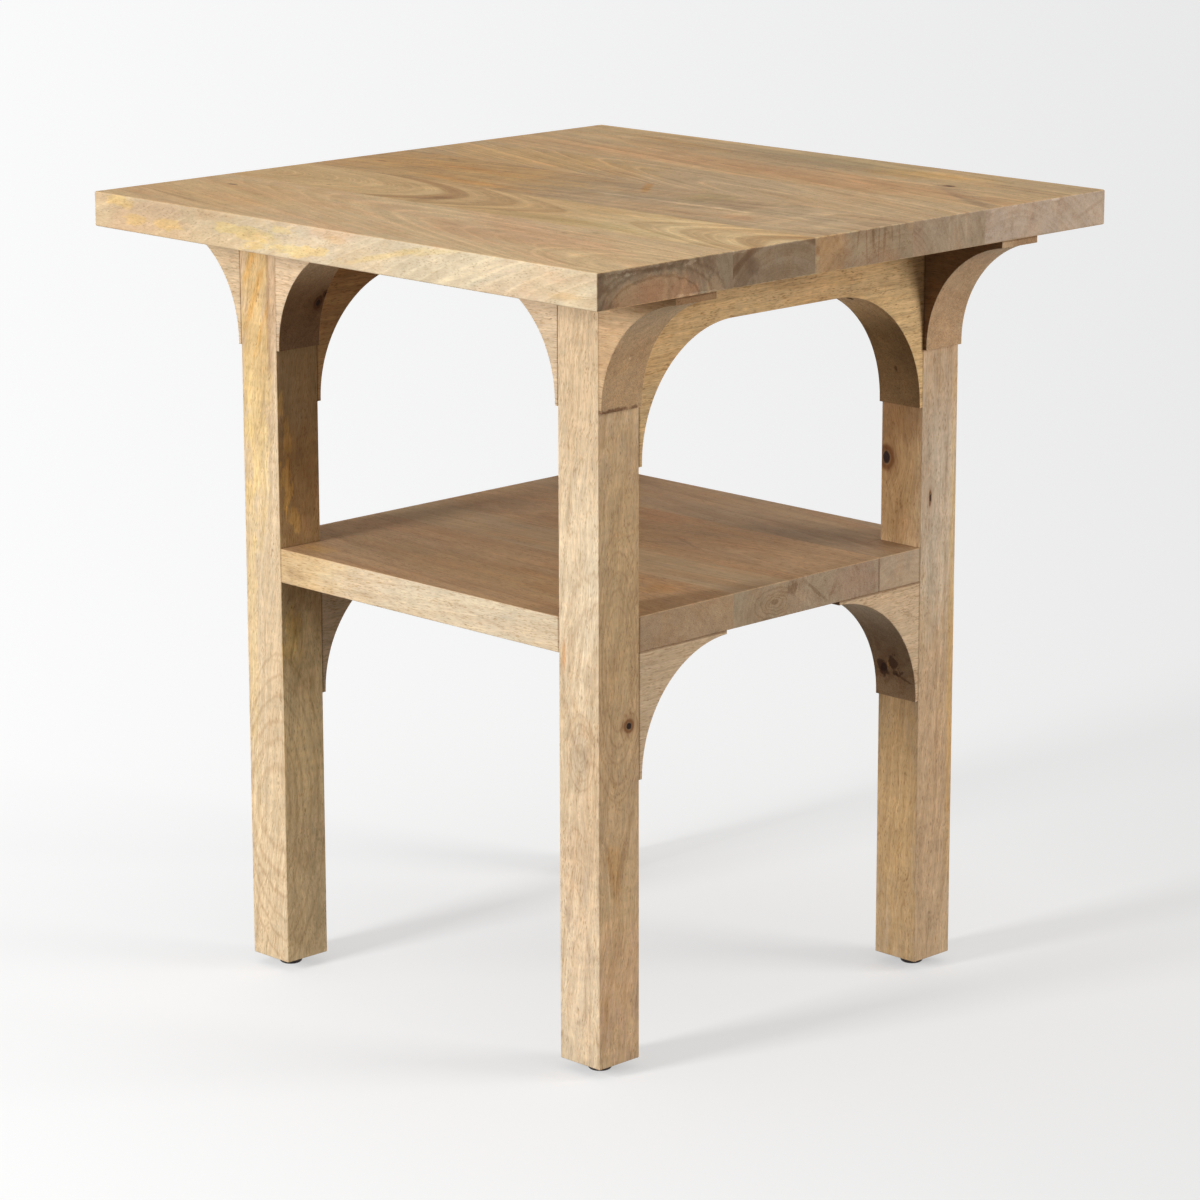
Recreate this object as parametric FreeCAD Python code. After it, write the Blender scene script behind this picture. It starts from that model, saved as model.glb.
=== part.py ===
import FreeCAD, Part
import math
import os

# Accent table in solid wood: a square top and a lower shelf on four square legs,
# with an arched rail on the left and on the right and curved brackets in the corners.
# Millimetres, Z up. The origin is on the floor under the middle of the top.
# X runs along the grain of the top and shelf. Y runs from the open front to the open back.

# Top
table_height = 690.0
top_length = 610.0
top_width = 610.0
top_thickness = 30.0
top_overhang = 87.0
top_arris = 1.5
top_seam_shares = (0.244, 0.4, 0.593, 0.741)

# Legs
leg_side = 46.0
leg_arris = 1.0

# Shelf, its height taken to its upper face
shelf_height = 384.0
shelf_thickness = 30.0
shelf_arris = 1.0
shelf_seam_shares = (0.358, 0.509, 0.775)

# Blunt ends and softened edges of every curved piece
blunt_step = 3.5
blunt_heel = 3.0
curve_arris = 0.6

# Arched rails: depth at the straight middle, drop at the legs, sideways reach of each curve
rail_depth = 45.0
rail_drop = 153.0
arch_reach = 105.0

# Brackets under the top: drop down the leg, wood left above the curve's crest,
# how far the curve would run on past the tip, and how far the tip stays in from the top's edge
bracket_drop = 103.0
bracket_crown = 5.0
bracket_nose = 13.5
bracket_edge_gap = 2.0

# Brackets under the shelf
shelf_bracket_drop = 107.0
shelf_bracket_reach = 103.0
shelf_bracket_crown = 3.0
shelf_bracket_nose = 4.5

# Dowels, all alike, half in each piece
dowel_radius = 4.0
dowel_length = 30.0
dowel_fit = 0.05
dowel_end_room = 0.5
rail_dowel_drop = 30.0
rail_dowel_pitch = 48.0
bracket_dowel_drop = 20.0
bracket_dowel_out = 30.0

# Screws up through the rails into the top
screw_radius = 2.5
screw_length = 55.0
screw_bite = 20.0
screw_point = 6.0
screw_head_radius = 4.5
screw_head_height = 3.0
screw_fit = 0.2
screw_spread = 200.0
counterbore_radius = 5.5

# Levelling feet: moulded pad on a steel stem in a flanged threaded insert
pad_radius = 10.0
pad_height = 8.0
pad_rounding = 2.5
pad_top_rounding = 1.0
stem_radius = 3.0
stem_grip = 5.0
stem_fit = 0.05
leveller_travel = 10.0
insert_radius = 5.0
insert_length = 15.0
insert_fit = 0.05
flange_radius = 8.5
flange_thickness = 1.0
stem_hole_room = 0.5

# One overrun serves all cuts
overrun = 1.0

# Places worked out from the sizes above
top_underside = table_height - top_thickness
shelf_underside = shelf_height - shelf_thickness
leg_bottom = pad_height + flange_thickness
leg_outer_x = top_length / 2 - top_overhang
leg_outer_y = top_width / 2 - top_overhang
leg_x = leg_outer_x - leg_side / 2
leg_y = leg_outer_y - leg_side / 2
leg_inner_x = leg_outer_x - leg_side
leg_inner_y = leg_outer_y - leg_side
bracket_reach = top_overhang - bracket_edge_gap
shelf_middle = shelf_height - shelf_thickness / 2
insert_top = leg_bottom + insert_length
stem_top = insert_top + leveller_travel

corners = {
    "front_left": (-1, -1),
    "front_right": (1, -1),
    "back_left": (-1, 1),
    "back_right": (1, 1),
}
ALONG_X = FreeCAD.Vector(1, 0, 0)
ALONG_Y = FreeCAD.Vector(0, 1, 0)
UP = FreeCAD.Vector(0, 0, 1)


def block(low, high):
    """A box from its lowest corner to its highest."""
    size = [b - a for a, b in zip(low, high)]
    return Part.makeBox(size[0], size[1], size[2], FreeCAD.Vector(*low))


def rod(radius, length, middle, axis):
    """A round bar of a given length, centred on a point."""
    return Part.makeCylinder(radius, length, middle - axis * (length / 2), axis)


def bored(solid, holes):
    """A piece with every hole that reaches it cut out."""
    near = [hole for hole in holes if hole.BoundBox.intersect(solid.BoundBox)]
    return solid.cut(near) if near else solid


def softened(solid, radius, chosen):
    """A piece with its chosen edges rounded."""
    return solid.makeFillet(radius, [edge for edge in solid.Edges if chosen(edge)])


def lies_at(edge, axis, places):
    """Whether an edge lies wholly in one of the planes across an axis at the given places."""
    low = getattr(edge.BoundBox, axis + "Min")
    high = getattr(edge.BoundBox, axis + "Max")
    return any(math.isclose(low, place, abs_tol=1e-6) and math.isclose(high, place, abs_tol=1e-6)
               for place in places)


# Curved outlines

def hollow_curve(foot, reach, rise, nose, side):
    """The concave curve from a foot on a leg to a tip, a quarter ellipse less its nose."""
    full_reach = reach + nose
    end = math.acos(nose / full_reach)

    def point(angle):
        across = full_reach * (1 - math.cos(angle))
        return foot + FreeCAD.Vector(side * across, 0, rise * math.sin(angle))

    return Part.Arc(point(0), point(end / 2), point(end)).toShape(), point(end)


def bracket_solid(reach, drop, crown, nose):
    """A bracket against a leg at x = 0 and under a board at z = 0, centred on y = 0."""
    foot = FreeCAD.Vector(blunt_step, 0, blunt_heel - drop)
    curve, tip = hollow_curve(foot, reach - blunt_step, drop - blunt_heel - crown, nose, 1)
    heel = FreeCAD.Vector(blunt_step, 0, -drop)
    root = FreeCAD.Vector(0, 0, -drop)
    seat = FreeCAD.Vector(0, 0, 0)
    end = FreeCAD.Vector(reach, 0, 0)
    edges = [
        Part.makeLine(seat, end),
        Part.makeLine(end, tip),
        curve,
        Part.makeLine(foot, heel),
        Part.makeLine(heel, root),
        Part.makeLine(root, seat),
    ]
    outline = Part.Face(Part.Wire(Part.sortEdges(edges)[0]))
    outline.translate(ALONG_Y * (-leg_side / 2))
    solid = outline.extrude(ALONG_Y * leg_side)
    sides = (-leg_side / 2, leg_side / 2)
    return softened(solid, curve_arris, lambda edge: lies_at(edge, "Y", sides)
                    and not lies_at(edge, "X", (0,)) and not lies_at(edge, "Z", (0,)))


def rail_solid(length):
    """An arched rail along x, centred, with its upper edge at z = 0."""
    half = length / 2
    rise = rail_drop - blunt_heel - rail_depth
    edges = [Part.makeLine(FreeCAD.Vector(-half, 0, 0), FreeCAD.Vector(half, 0, 0))]
    crests = []
    for side in (-1, 1):
        end = side * half
        foot = FreeCAD.Vector(end - side * blunt_step, 0, blunt_heel - rail_drop)
        curve, crest = hollow_curve(foot, arch_reach, rise, 0, -side)
        heel = FreeCAD.Vector(foot.x, 0, -rail_drop)
        root = FreeCAD.Vector(end, 0, -rail_drop)
        edges += [curve, Part.makeLine(foot, heel), Part.makeLine(heel, root)]
        edges.append(Part.makeLine(root, FreeCAD.Vector(end, 0, 0)))
        crests.append(crest)
    edges.append(Part.makeLine(crests[0], crests[1]))
    outline = Part.Face(Part.Wire(Part.sortEdges(edges)[0]))
    outline.translate(ALONG_Y * (-leg_side / 2))
    solid = outline.extrude(ALONG_Y * leg_side)
    sides = (-leg_side / 2, leg_side / 2)
    return softened(solid, curve_arris, lambda edge: lies_at(edge, "Y", sides)
                    and not lies_at(edge, "X", (-half, half)) and not lies_at(edge, "Z", (0,)))


def placed(solid, turn, position):
    """A copy turned about Z by some degrees and moved to a position."""
    copy = solid.copy()
    copy.rotate(FreeCAD.Vector(0, 0, 0), UP, turn)
    copy.translate(FreeCAD.Vector(*position))
    return copy


# Boards

def glued_boards(panel, low_y, width, seam_shares):
    """A panel split along its glue lines into boards, front to back."""
    box = panel.BoundBox
    cuts = [low_y - overrun]
    cuts += [low_y + share * width for share in seam_shares]
    cuts.append(low_y + width + overrun)
    boards = []
    for near, far in zip(cuts, cuts[1:]):
        low = (box.XMin - overrun, near, box.ZMin - overrun)
        high = (box.XMax + overrun, far, box.ZMax + overrun)
        boards.append(panel.common(block(low, high)))
    return boards


def top_panel():
    """The top before it is split into its boards."""
    low = (-top_length / 2, -top_width / 2, top_underside)
    high = (top_length / 2, top_width / 2, table_height)
    return softened(block(low, high), top_arris, lambda edge: True)


def shelf_panel():
    """The shelf, notched round the legs, before it is split into its boards."""
    low = (-leg_outer_x, -leg_outer_y, shelf_underside)
    high = (leg_outer_x, leg_outer_y, shelf_height)
    panel = block(low, high)
    for side_x, side_y in corners.values():
        panel = panel.cut(leg_block(side_x, side_y))
    return softened(panel, shelf_arris, lambda edge: lies_at(edge, "Z", (shelf_underside, shelf_height))
                    and not lies_at(edge, "X", (-leg_inner_x, leg_inner_x))
                    and not lies_at(edge, "Y", (-leg_inner_y, leg_inner_y)))


# Legs

def leg_block(side_x, side_y):
    """The square space that a leg takes up, from its foot to the top."""
    low = (side_x * leg_x - leg_side / 2, side_y * leg_y - leg_side / 2, leg_bottom)
    high = (side_x * leg_x + leg_side / 2, side_y * leg_y + leg_side / 2, top_underside)
    return block(low, high)


def leg_solid(side_x, side_y):
    """A leg with softened corners and foot, bored up for its levelling foot."""
    leg = leg_block(side_x, side_y)
    leg = softened(leg, leg_arris, lambda edge: not lies_at(edge, "Z", (top_underside,)))
    below = FreeCAD.Vector(side_x * leg_x, side_y * leg_y, leg_bottom - overrun)
    insert_depth = overrun + insert_length + stem_hole_room
    stem_depth = stem_top + stem_hole_room - below.z
    insert_hole = Part.makeCylinder(insert_radius + insert_fit, insert_depth, below)
    stem_hole = Part.makeCylinder(stem_radius + stem_hole_room, stem_depth, below)
    return leg.cut([insert_hole, stem_hole])


# Dowels and their holes

def dowel_places():
    """Middle and axis of every dowel, by the joint that it holds."""
    groups = {}

    def add(name, x, y, z, axis):
        groups.setdefault(name, []).append((FreeCAD.Vector(x, y, z), axis))

    for side_x, side_y in corners.values():
        x = side_x * leg_x
        y = side_y * leg_y
        inner_y = side_y * leg_inner_y
        for step in range(2):
            drop = rail_dowel_drop + step * rail_dowel_pitch
            add("rail_dowels", x, inner_y, top_underside - drop, ALONG_Y)
        for face in (leg_inner_x, leg_outer_x):
            out = bracket_dowel_out if face > leg_x else -bracket_dowel_out
            add("bracket_side_dowels", side_x * face, y, top_underside - bracket_dowel_drop, ALONG_X)
            add("bracket_top_dowels", side_x * (face + out), y, top_underside, UP)
        add("leg_top_dowels", x, y, top_underside, UP)
        add("shelf_dowels", side_x * leg_inner_x, y, shelf_middle, ALONG_X)
        add("shelf_bracket_side_dowels", x, inner_y, shelf_underside - bracket_dowel_drop, ALONG_Y)
        add("shelf_bracket_top_dowels", x, inner_y - side_y * bracket_dowel_out, shelf_underside, UP)
    return groups


def dowel_hole(middle, axis):
    """The hole for a dowel, with room for glue round it and at both ends."""
    return rod(dowel_radius + dowel_fit, dowel_length + 2 * dowel_end_room, middle, axis)


# Screws

def screw_places():
    """Where each screw's head bears, inside a rail."""
    seat = top_underside + screw_bite - screw_length
    return [FreeCAD.Vector(side * leg_x, end * screw_spread / 2, seat)
            for side in (-1, 1) for end in (-1, 1)]


def screw_solid(seat):
    """A pan-headed wood screw, its point upward, without its thread."""
    head = Part.makeCylinder(screw_head_radius, screw_head_height, seat - UP * screw_head_height)
    shank = Part.makeCylinder(screw_radius, screw_length - screw_point, seat)
    point = Part.makeCone(screw_radius, 0, screw_point, seat + UP * (screw_length - screw_point))
    return head.fuse([shank, point]).removeSplitter()


def screw_hole(seat):
    """The screw's hole up into the top, with the counterbore that lets its head in."""
    shank = Part.makeCylinder(screw_radius + screw_fit, screw_length + screw_fit, seat - UP * overrun)
    below = FreeCAD.Vector(seat.x, seat.y, top_underside - rail_drop)
    return shank.fuse(Part.makeCylinder(counterbore_radius, seat.z - below.z, below))


# Levelling feet

def leveller_pieces(side_x, side_y):
    """The insert, stem and pad of one levelling foot, screwed right in."""
    floor = FreeCAD.Vector(side_x * leg_x, side_y * leg_y, 0)
    stem_low = floor + UP * (pad_height - stem_grip)
    stem = Part.makeCylinder(stem_radius, stem_top - stem_low.z, stem_low)
    pad = Part.makeCylinder(pad_radius, pad_height, floor)
    pad = softened(pad, pad_rounding, lambda edge: lies_at(edge, "Z", (0,)))
    pad = softened(pad, pad_top_rounding, lambda edge: lies_at(edge, "Z", (pad_height,)))
    pad = pad.cut(Part.makeCylinder(stem_radius + stem_fit, stem_grip + overrun, stem_low))
    flange = Part.makeCylinder(flange_radius, flange_thickness, floor + UP * pad_height)
    insert = flange.fuse(Part.makeCylinder(insert_radius, insert_length, floor + UP * leg_bottom))
    through = Part.makeCylinder(stem_radius + stem_fit, insert_top, floor)
    return insert.cut(through).removeSplitter(), stem, pad


# The whole table, piece by piece

def build():
    """Every piece by name. A list is a group of pieces that are alike."""
    places = dowel_places()
    holes = [dowel_hole(*place) for group in places.values() for place in group]
    holes += [screw_hole(seat) for seat in screw_places()]
    pieces = {}

    boards = glued_boards(top_panel(), -top_width / 2, top_width, top_seam_shares)
    for number, board in enumerate(boards, 1):
        pieces[f"top_board_{number}"] = bored(board, holes)
    boards = glued_boards(shelf_panel(), -leg_outer_y, 2 * leg_outer_y, shelf_seam_shares)
    for number, board in enumerate(boards, 1):
        pieces[f"shelf_board_{number}"] = bored(board, holes)

    rail = rail_solid(2 * leg_inner_y)
    for name, side in (("left", -1), ("right", 1)):
        pieces[f"arched_rail_{name}"] = bored(placed(rail, 90, (side * leg_x, 0, top_underside)), holes)

    bracket = bracket_solid(bracket_reach, bracket_drop, bracket_crown, bracket_nose)
    shelf_bracket = bracket_solid(shelf_bracket_reach, shelf_bracket_drop,
                                  shelf_bracket_crown, shelf_bracket_nose)
    for name, (side_x, side_y) in corners.items():
        x = side_x * leg_x
        y = side_y * leg_y
        pieces[f"leg_{name}"] = bored(leg_solid(side_x, side_y), holes)
        outward = 0 if side_x > 0 else 180
        outer = placed(bracket, outward, (side_x * leg_outer_x, y, top_underside))
        inner = placed(bracket, outward + 180, (side_x * leg_inner_x, y, top_underside))
        below = placed(shelf_bracket, -90 * side_y, (x, side_y * leg_inner_y, shelf_underside))
        pieces[f"bracket_outer_{name}"] = bored(outer, holes)
        pieces[f"bracket_inner_{name}"] = bored(inner, holes)
        pieces[f"shelf_bracket_{name}"] = bored(below, holes)
        insert, stem, pad = leveller_pieces(side_x, side_y)
        pieces[f"leveller_insert_{name}"] = insert
        pieces[f"leveller_stem_{name}"] = stem
        pieces[f"leveller_pad_{name}"] = pad

    for name, group in places.items():
        pieces[name] = [rod(dowel_radius, dowel_length, middle, axis) for middle, axis in group]
    pieces["top_screws"] = [screw_solid(seat) for seat in screw_places()]
    return pieces


def main():
    os.makedirs("parts", exist_ok=True)
    for name, shape in build().items():
        if isinstance(shape, list):
            shape = Part.makeCompound(shape)
        shape.exportStep(f"parts/{name}.step")
        print(name, len(shape.Solids), round(shape.Volume), shape.isValid())


main()
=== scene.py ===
import math
import bmesh
import bpy
from mathutils import Matrix, Vector


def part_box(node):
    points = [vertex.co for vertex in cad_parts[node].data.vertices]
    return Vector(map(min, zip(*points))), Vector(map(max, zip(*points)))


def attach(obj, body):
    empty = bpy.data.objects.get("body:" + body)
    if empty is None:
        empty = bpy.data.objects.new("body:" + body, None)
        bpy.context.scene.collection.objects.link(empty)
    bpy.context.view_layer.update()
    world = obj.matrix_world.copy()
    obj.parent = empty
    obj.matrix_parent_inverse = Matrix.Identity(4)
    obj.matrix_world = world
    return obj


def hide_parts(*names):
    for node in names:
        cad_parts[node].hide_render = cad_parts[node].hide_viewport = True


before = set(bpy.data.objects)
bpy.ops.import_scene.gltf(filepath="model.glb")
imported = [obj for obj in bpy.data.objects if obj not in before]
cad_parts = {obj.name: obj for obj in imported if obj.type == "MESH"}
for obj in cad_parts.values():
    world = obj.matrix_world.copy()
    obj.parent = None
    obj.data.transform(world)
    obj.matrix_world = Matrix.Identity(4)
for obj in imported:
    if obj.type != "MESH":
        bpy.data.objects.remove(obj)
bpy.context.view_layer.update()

# Accent table in solid wood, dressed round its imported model.
# Objects are in metres. The figure of the wood is described in millimetres, in the same axes:
# X along the grain of the top, Y from the open front to the open back, Z up.

MILLIMETRES = 1000.0

# Camera, at the photograph's place
CAMERA_PLACE = (2.5758, -2.5531, 1.2208)
CAMERA_RIGHT = (0.70428, 0.70992, -0.00220)
CAMERA_UP = (-0.15812, 0.15989, 0.97439)
CAMERA_BACK = (0.69209, -0.68590, 0.22486)
CAMERA_LENS = 128.5
CAMERA_SENSOR = 36.0
CAMERA_SHIFT_Y = -0.05
CAMERA_CLIP = 100.0

# Light
SKY_COLOUR = (0.98, 1.00, 1.04)
SKY_HIGH = 0.98
LAMPS = {
    "Key": dict(place=(-0.35, -2.70, 1.12), aim=(0.0, 0.0, 0.35), width=0.55, height=1.00,
                power=64.0, colour=(0.98, 1.00, 1.04)),
    "Fill": dict(place=(2.20, 1.50, 1.00), aim=(0.0, 0.0, 0.40), width=1.20, height=1.60,
                 power=46.0, colour=(1.0, 1.0, 1.0)),
}

# Stage
FLOOR_HALF = 30.0
FLOOR_ALBEDO = 0.20
SHADE_SHARE = 0.46
SHADE_COLOUR = (1.015, 1.00, 0.97)
LAMP_SPREAD = 3.8 * math.pi
STAGE_LEFT = (250, 250, 250)
STAGE_RIGHT = (233, 233, 233)
STAGE_SLANT = 0.14
STAGE_NEAR = 3.3

# Threads, in metres
STEM_PITCH = 0.001
STEM_CUT = 0.00055
THREAD_ROWS = 6
THREAD_SIDES = 24
THREAD_FLANK = 2.4
SHARP_ANGLE = 35
SCREW_PITCH = 0.0022
SCREW_CUT = 0.0008
SCREW_RADIUS = 0.0025
SCREW_POINT = 0.006
SCREW_PLAIN = 0.018
SCREW_START = 0.002
SCREW_HEAD = 0.003
SCREW_HEAD_RADIUS = 0.0045
HEAD_ROWS = 16
HEAD_SIDES = 48
HEAD_DOME = 0.0007
RECESS_HALF = 0.00055
RECESS_REACH = 0.0026
RECESS_DEEP = 0.0018
RECESS_WALL = 0.00015
RECESS_SLOPE = 0.0012

# The side of the table, in X and in Y, on which each corner lies
CORNERS = {"front_left": (-1, -1), "front_right": (1, -1), "back_left": (-1, 1), "back_right": (1, 1)}

# Places on the table, in millimetres
TOP_FACE = 690
TOP_UNDERSIDE = 659.5
TOP_EDGE = 305
SHELF_FACE = 384
SHELF_UNDERSIDE = 353.5
LEG_MIDDLE = 195
LEG_NEAR = 172
LEG_FAR = 218


# Colours

def tone(red, green, blue):
    """A colour given as it looks on a screen, 0 to 255, as the shader wants it."""
    def channel(value):
        share = value / 255
        return share / 12.92 if share <= 0.04045 else ((share + 0.055) / 1.055) ** 2.4
    return (channel(red), channel(green), channel(blue), 1.0)


def tint(red, green, blue):
    """What a colour is multiplied by."""
    return (red, green, blue, 1.0)


# Node writing

class Graph:
    """Writes nodes into a tree. A value may be a number, a tuple or another node's socket."""

    def __init__(self, tree):
        self.tree = tree

    def put(self, socket, value):
        if isinstance(value, bpy.types.NodeSocket):
            self.tree.links.new(value, socket)
        elif value is not None:
            socket.default_value = value

    def node(self, kind, inputs=None, **settings):
        made = self.tree.nodes.new(kind)
        for name, value in settings.items():
            setattr(made, name, value)
        for name, value in (inputs or {}).items():
            self.put(made.inputs[name], value)
        return made

    def math(self, operation, *values, clamp=False):
        inputs = dict(enumerate(values))
        return self.node("ShaderNodeMath", inputs, operation=operation, use_clamp=clamp).outputs[0]

    def product(self, *factors):
        result = factors[0]
        for factor in factors[1:]:
            result = self.math("MULTIPLY", result, factor)
        return result

    def vector(self, operation, *values, scale=None):
        inputs = dict(enumerate(values))
        if scale is not None:
            inputs["Scale"] = scale
        made = self.node("ShaderNodeVectorMath", inputs, operation=operation)
        return made.outputs["Value" if operation in ("DOT_PRODUCT", "LENGTH") else "Vector"]

    def split(self, vector):
        return self.node("ShaderNodeSeparateXYZ", {"Vector": vector}).outputs

    def join(self, x, y, z):
        return self.node("ShaderNodeCombineXYZ", {"X": x, "Y": y, "Z": z}).outputs["Vector"]

    def noise(self, place, size, detail, rough, output="Fac"):
        """Noise from 0 to 1 whose lumps have the given size along and across the grain."""
        shares = tuple(1 / value for value in size)
        made = self.node("ShaderNodeTexNoise", {
            "Vector": self.vector("MULTIPLY", place, shares),
            "Scale": 1.0, "Detail": detail, "Roughness": rough}, noise_dimensions="3D")
        return made.outputs[output]

    def noise_line(self, distance, size, detail):
        """Noise along one distance only, which makes bands."""
        made = self.node("ShaderNodeTexNoise", {
            "W": self.math("DIVIDE", distance, size),
            "Scale": 1.0, "Detail": detail, "Roughness": 0.5}, noise_dimensions="1D")
        return made.outputs["Fac"]

    def fade(self, value, low, high):
        """A smooth step from 0 at low to 1 at high."""
        made = self.node("ShaderNodeMapRange", {"Value": value, "From Min": low, "From Max": high},
                         interpolation_type="SMOOTHSTEP")
        return made.outputs["Result"]

    def mix(self, share, first, second, blend="MIX"):
        made = self.node("ShaderNodeMix", {0: share, 6: first, 7: second}, data_type="RGBA", blend_type=blend)
        return made.outputs[2]

    def times(self, colour, share, factor):
        """A colour multiplied by another, by some share."""
        return self.mix(share, colour, factor, "MULTIPLY")

    def use(self, group, inputs):
        return self.node("ShaderNodeGroup", inputs, node_tree=group).outputs


def new_graph(owner):
    """Gives a material or the world an empty tree to write nodes into."""
    owner.use_nodes = True
    owner.node_tree.nodes.clear()
    return Graph(owner.node_tree)


def new_material(name):
    """A new material, its tree, and the place of a point on its object in millimetres."""
    material = bpy.data.materials.new(name)
    g = new_graph(material)
    place = g.vector("SCALE", g.node("ShaderNodeTexCoord").outputs["Object"], scale=MILLIMETRES)
    return material, g, place


def cover(g, height, strength, distance, inputs):
    """Ends a material's tree with its surface and the relief on it."""
    bump = g.node("ShaderNodeBump", {"Height": height, "Strength": strength, "Distance": distance})
    shader = g.node("ShaderNodeBsdfPrincipled", {**inputs, "Normal": bump.outputs["Normal"]})
    g.node("ShaderNodeOutputMaterial", {"Surface": shader.outputs["BSDF"]})


def new_group(name, inputs, outputs):
    """A node group with its sockets: {name: default} in, a number, three numbers or a colour."""
    kinds = {1: "NodeSocketFloat", 3: "NodeSocketVector", 4: "NodeSocketColor"}
    tree = bpy.data.node_groups.new(name, "ShaderNodeTree")
    for title, value in inputs.items():
        size = len(value) if isinstance(value, tuple) else 1
        socket = tree.interface.new_socket(title, in_out="INPUT", socket_type=kinds[size])
        socket.default_value = value
    for title, size in outputs.items():
        tree.interface.new_socket(title, in_out="OUTPUT", socket_type=kinds[size])
    graph = Graph(tree)
    entry = graph.node("NodeGroupInput").outputs
    end = graph.node("NodeGroupOutput").inputs
    return graph, entry, end


# Wood

ORIGIN = (0.0, 0.0, 0.0)
HALF = (0.5, 0.5, 0.5)
AXES = {"x": (1.0, 0.0, 0.0), "y": (0.0, 1.0, 0.0), "z": (0.0, 0.0, 1.0)}
OTHER_AXES = {"x": ("y", "z"), "y": ("x", "z"), "z": ("x", "y")}
STRAIGHT = 100000.0
SEED_STEP = 1731.0
THIRD_STEP = (517.0, 91.0, 233.0)
BLEND_TURNS = (2.4, 1.7)
KNOT_HEART = tone(44, 28, 22)
KNOT_RIM = tint(0.52, 0.39, 0.31)
KNOT_SHADE = tint(0.62, 0.50, 0.42)
WOOD_SPECULAR = 0.10
WOOD_IOR = 1.46
WOOD_RELIEF = 0.0002
FACE_DEPTH = 20


def grain_group():
    """Object place to grain place: x along the tree, y and z across it, from the pith, in mm."""
    g, entry, end = new_group("Grain", {
        "Place": ORIGIN, "Middle": ORIGIN,
        "Along": AXES["x"], "Across": AXES["y"], "Through": AXES["z"],
        "Tilt": ORIGIN, "Bow": ORIGIN, "Bow Reach": STRAIGHT},
        {"Grain": 3})
    out = g.vector("SUBTRACT", entry["Place"], entry["Middle"])
    u = g.vector("DOT_PRODUCT", out, entry["Along"])
    v = g.vector("DOT_PRODUCT", out, entry["Across"])
    w = g.vector("DOT_PRODUCT", out, entry["Through"])
    tilt = g.vector("SCALE", entry["Tilt"], scale=u)
    reach = g.math("DIVIDE", u, entry["Bow Reach"])
    eased = g.math("DIVIDE", g.product(u, u), g.math("MULTIPLY_ADD", reach, reach, 1.0))
    bow = g.vector("SCALE", entry["Bow"], scale=eased)
    g.put(end["Grain"], g.vector("SUBTRACT", g.join(u, v, w), g.vector("ADD", tilt, bow)))
    return g.tree


def sway_group():
    """The grain place swayed and rippled as a trunk's is, and the distance from its pith."""
    g, entry, end = new_group(
        "Sway", {"Grain": ORIGIN, "Seed": 0.0, "Sway": 8.0, "Ripple": 1.4}, {"Place": 3, "Radius": 1})
    away = g.product(entry["Seed"], SEED_STEP)
    place = g.vector("ADD", entry["Grain"], g.join(away, away, away))
    across = (0.0, 1.0, 1.0)
    slow = g.vector("SUBTRACT", g.noise(place, (260, 60, 60), 2, 0.45, "Color"), HALF)
    quick = g.vector("SUBTRACT", g.noise(place, (36, 12, 12), 2, 0.5, "Color"), HALF)
    sway = g.vector("MULTIPLY", g.vector("SCALE", slow, scale=entry["Sway"]), across)
    ripple = g.vector("MULTIPLY", g.vector("SCALE", quick, scale=entry["Ripple"]), across)
    shift = g.vector("ADD", sway, ripple)
    bent = g.vector("MULTIPLY", g.vector("ADD", entry["Grain"], shift), across)
    g.put(end["Radius"], g.vector("LENGTH", bent))
    g.put(end["Place"], g.vector("ADD", place, shift))
    return g.tree


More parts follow.
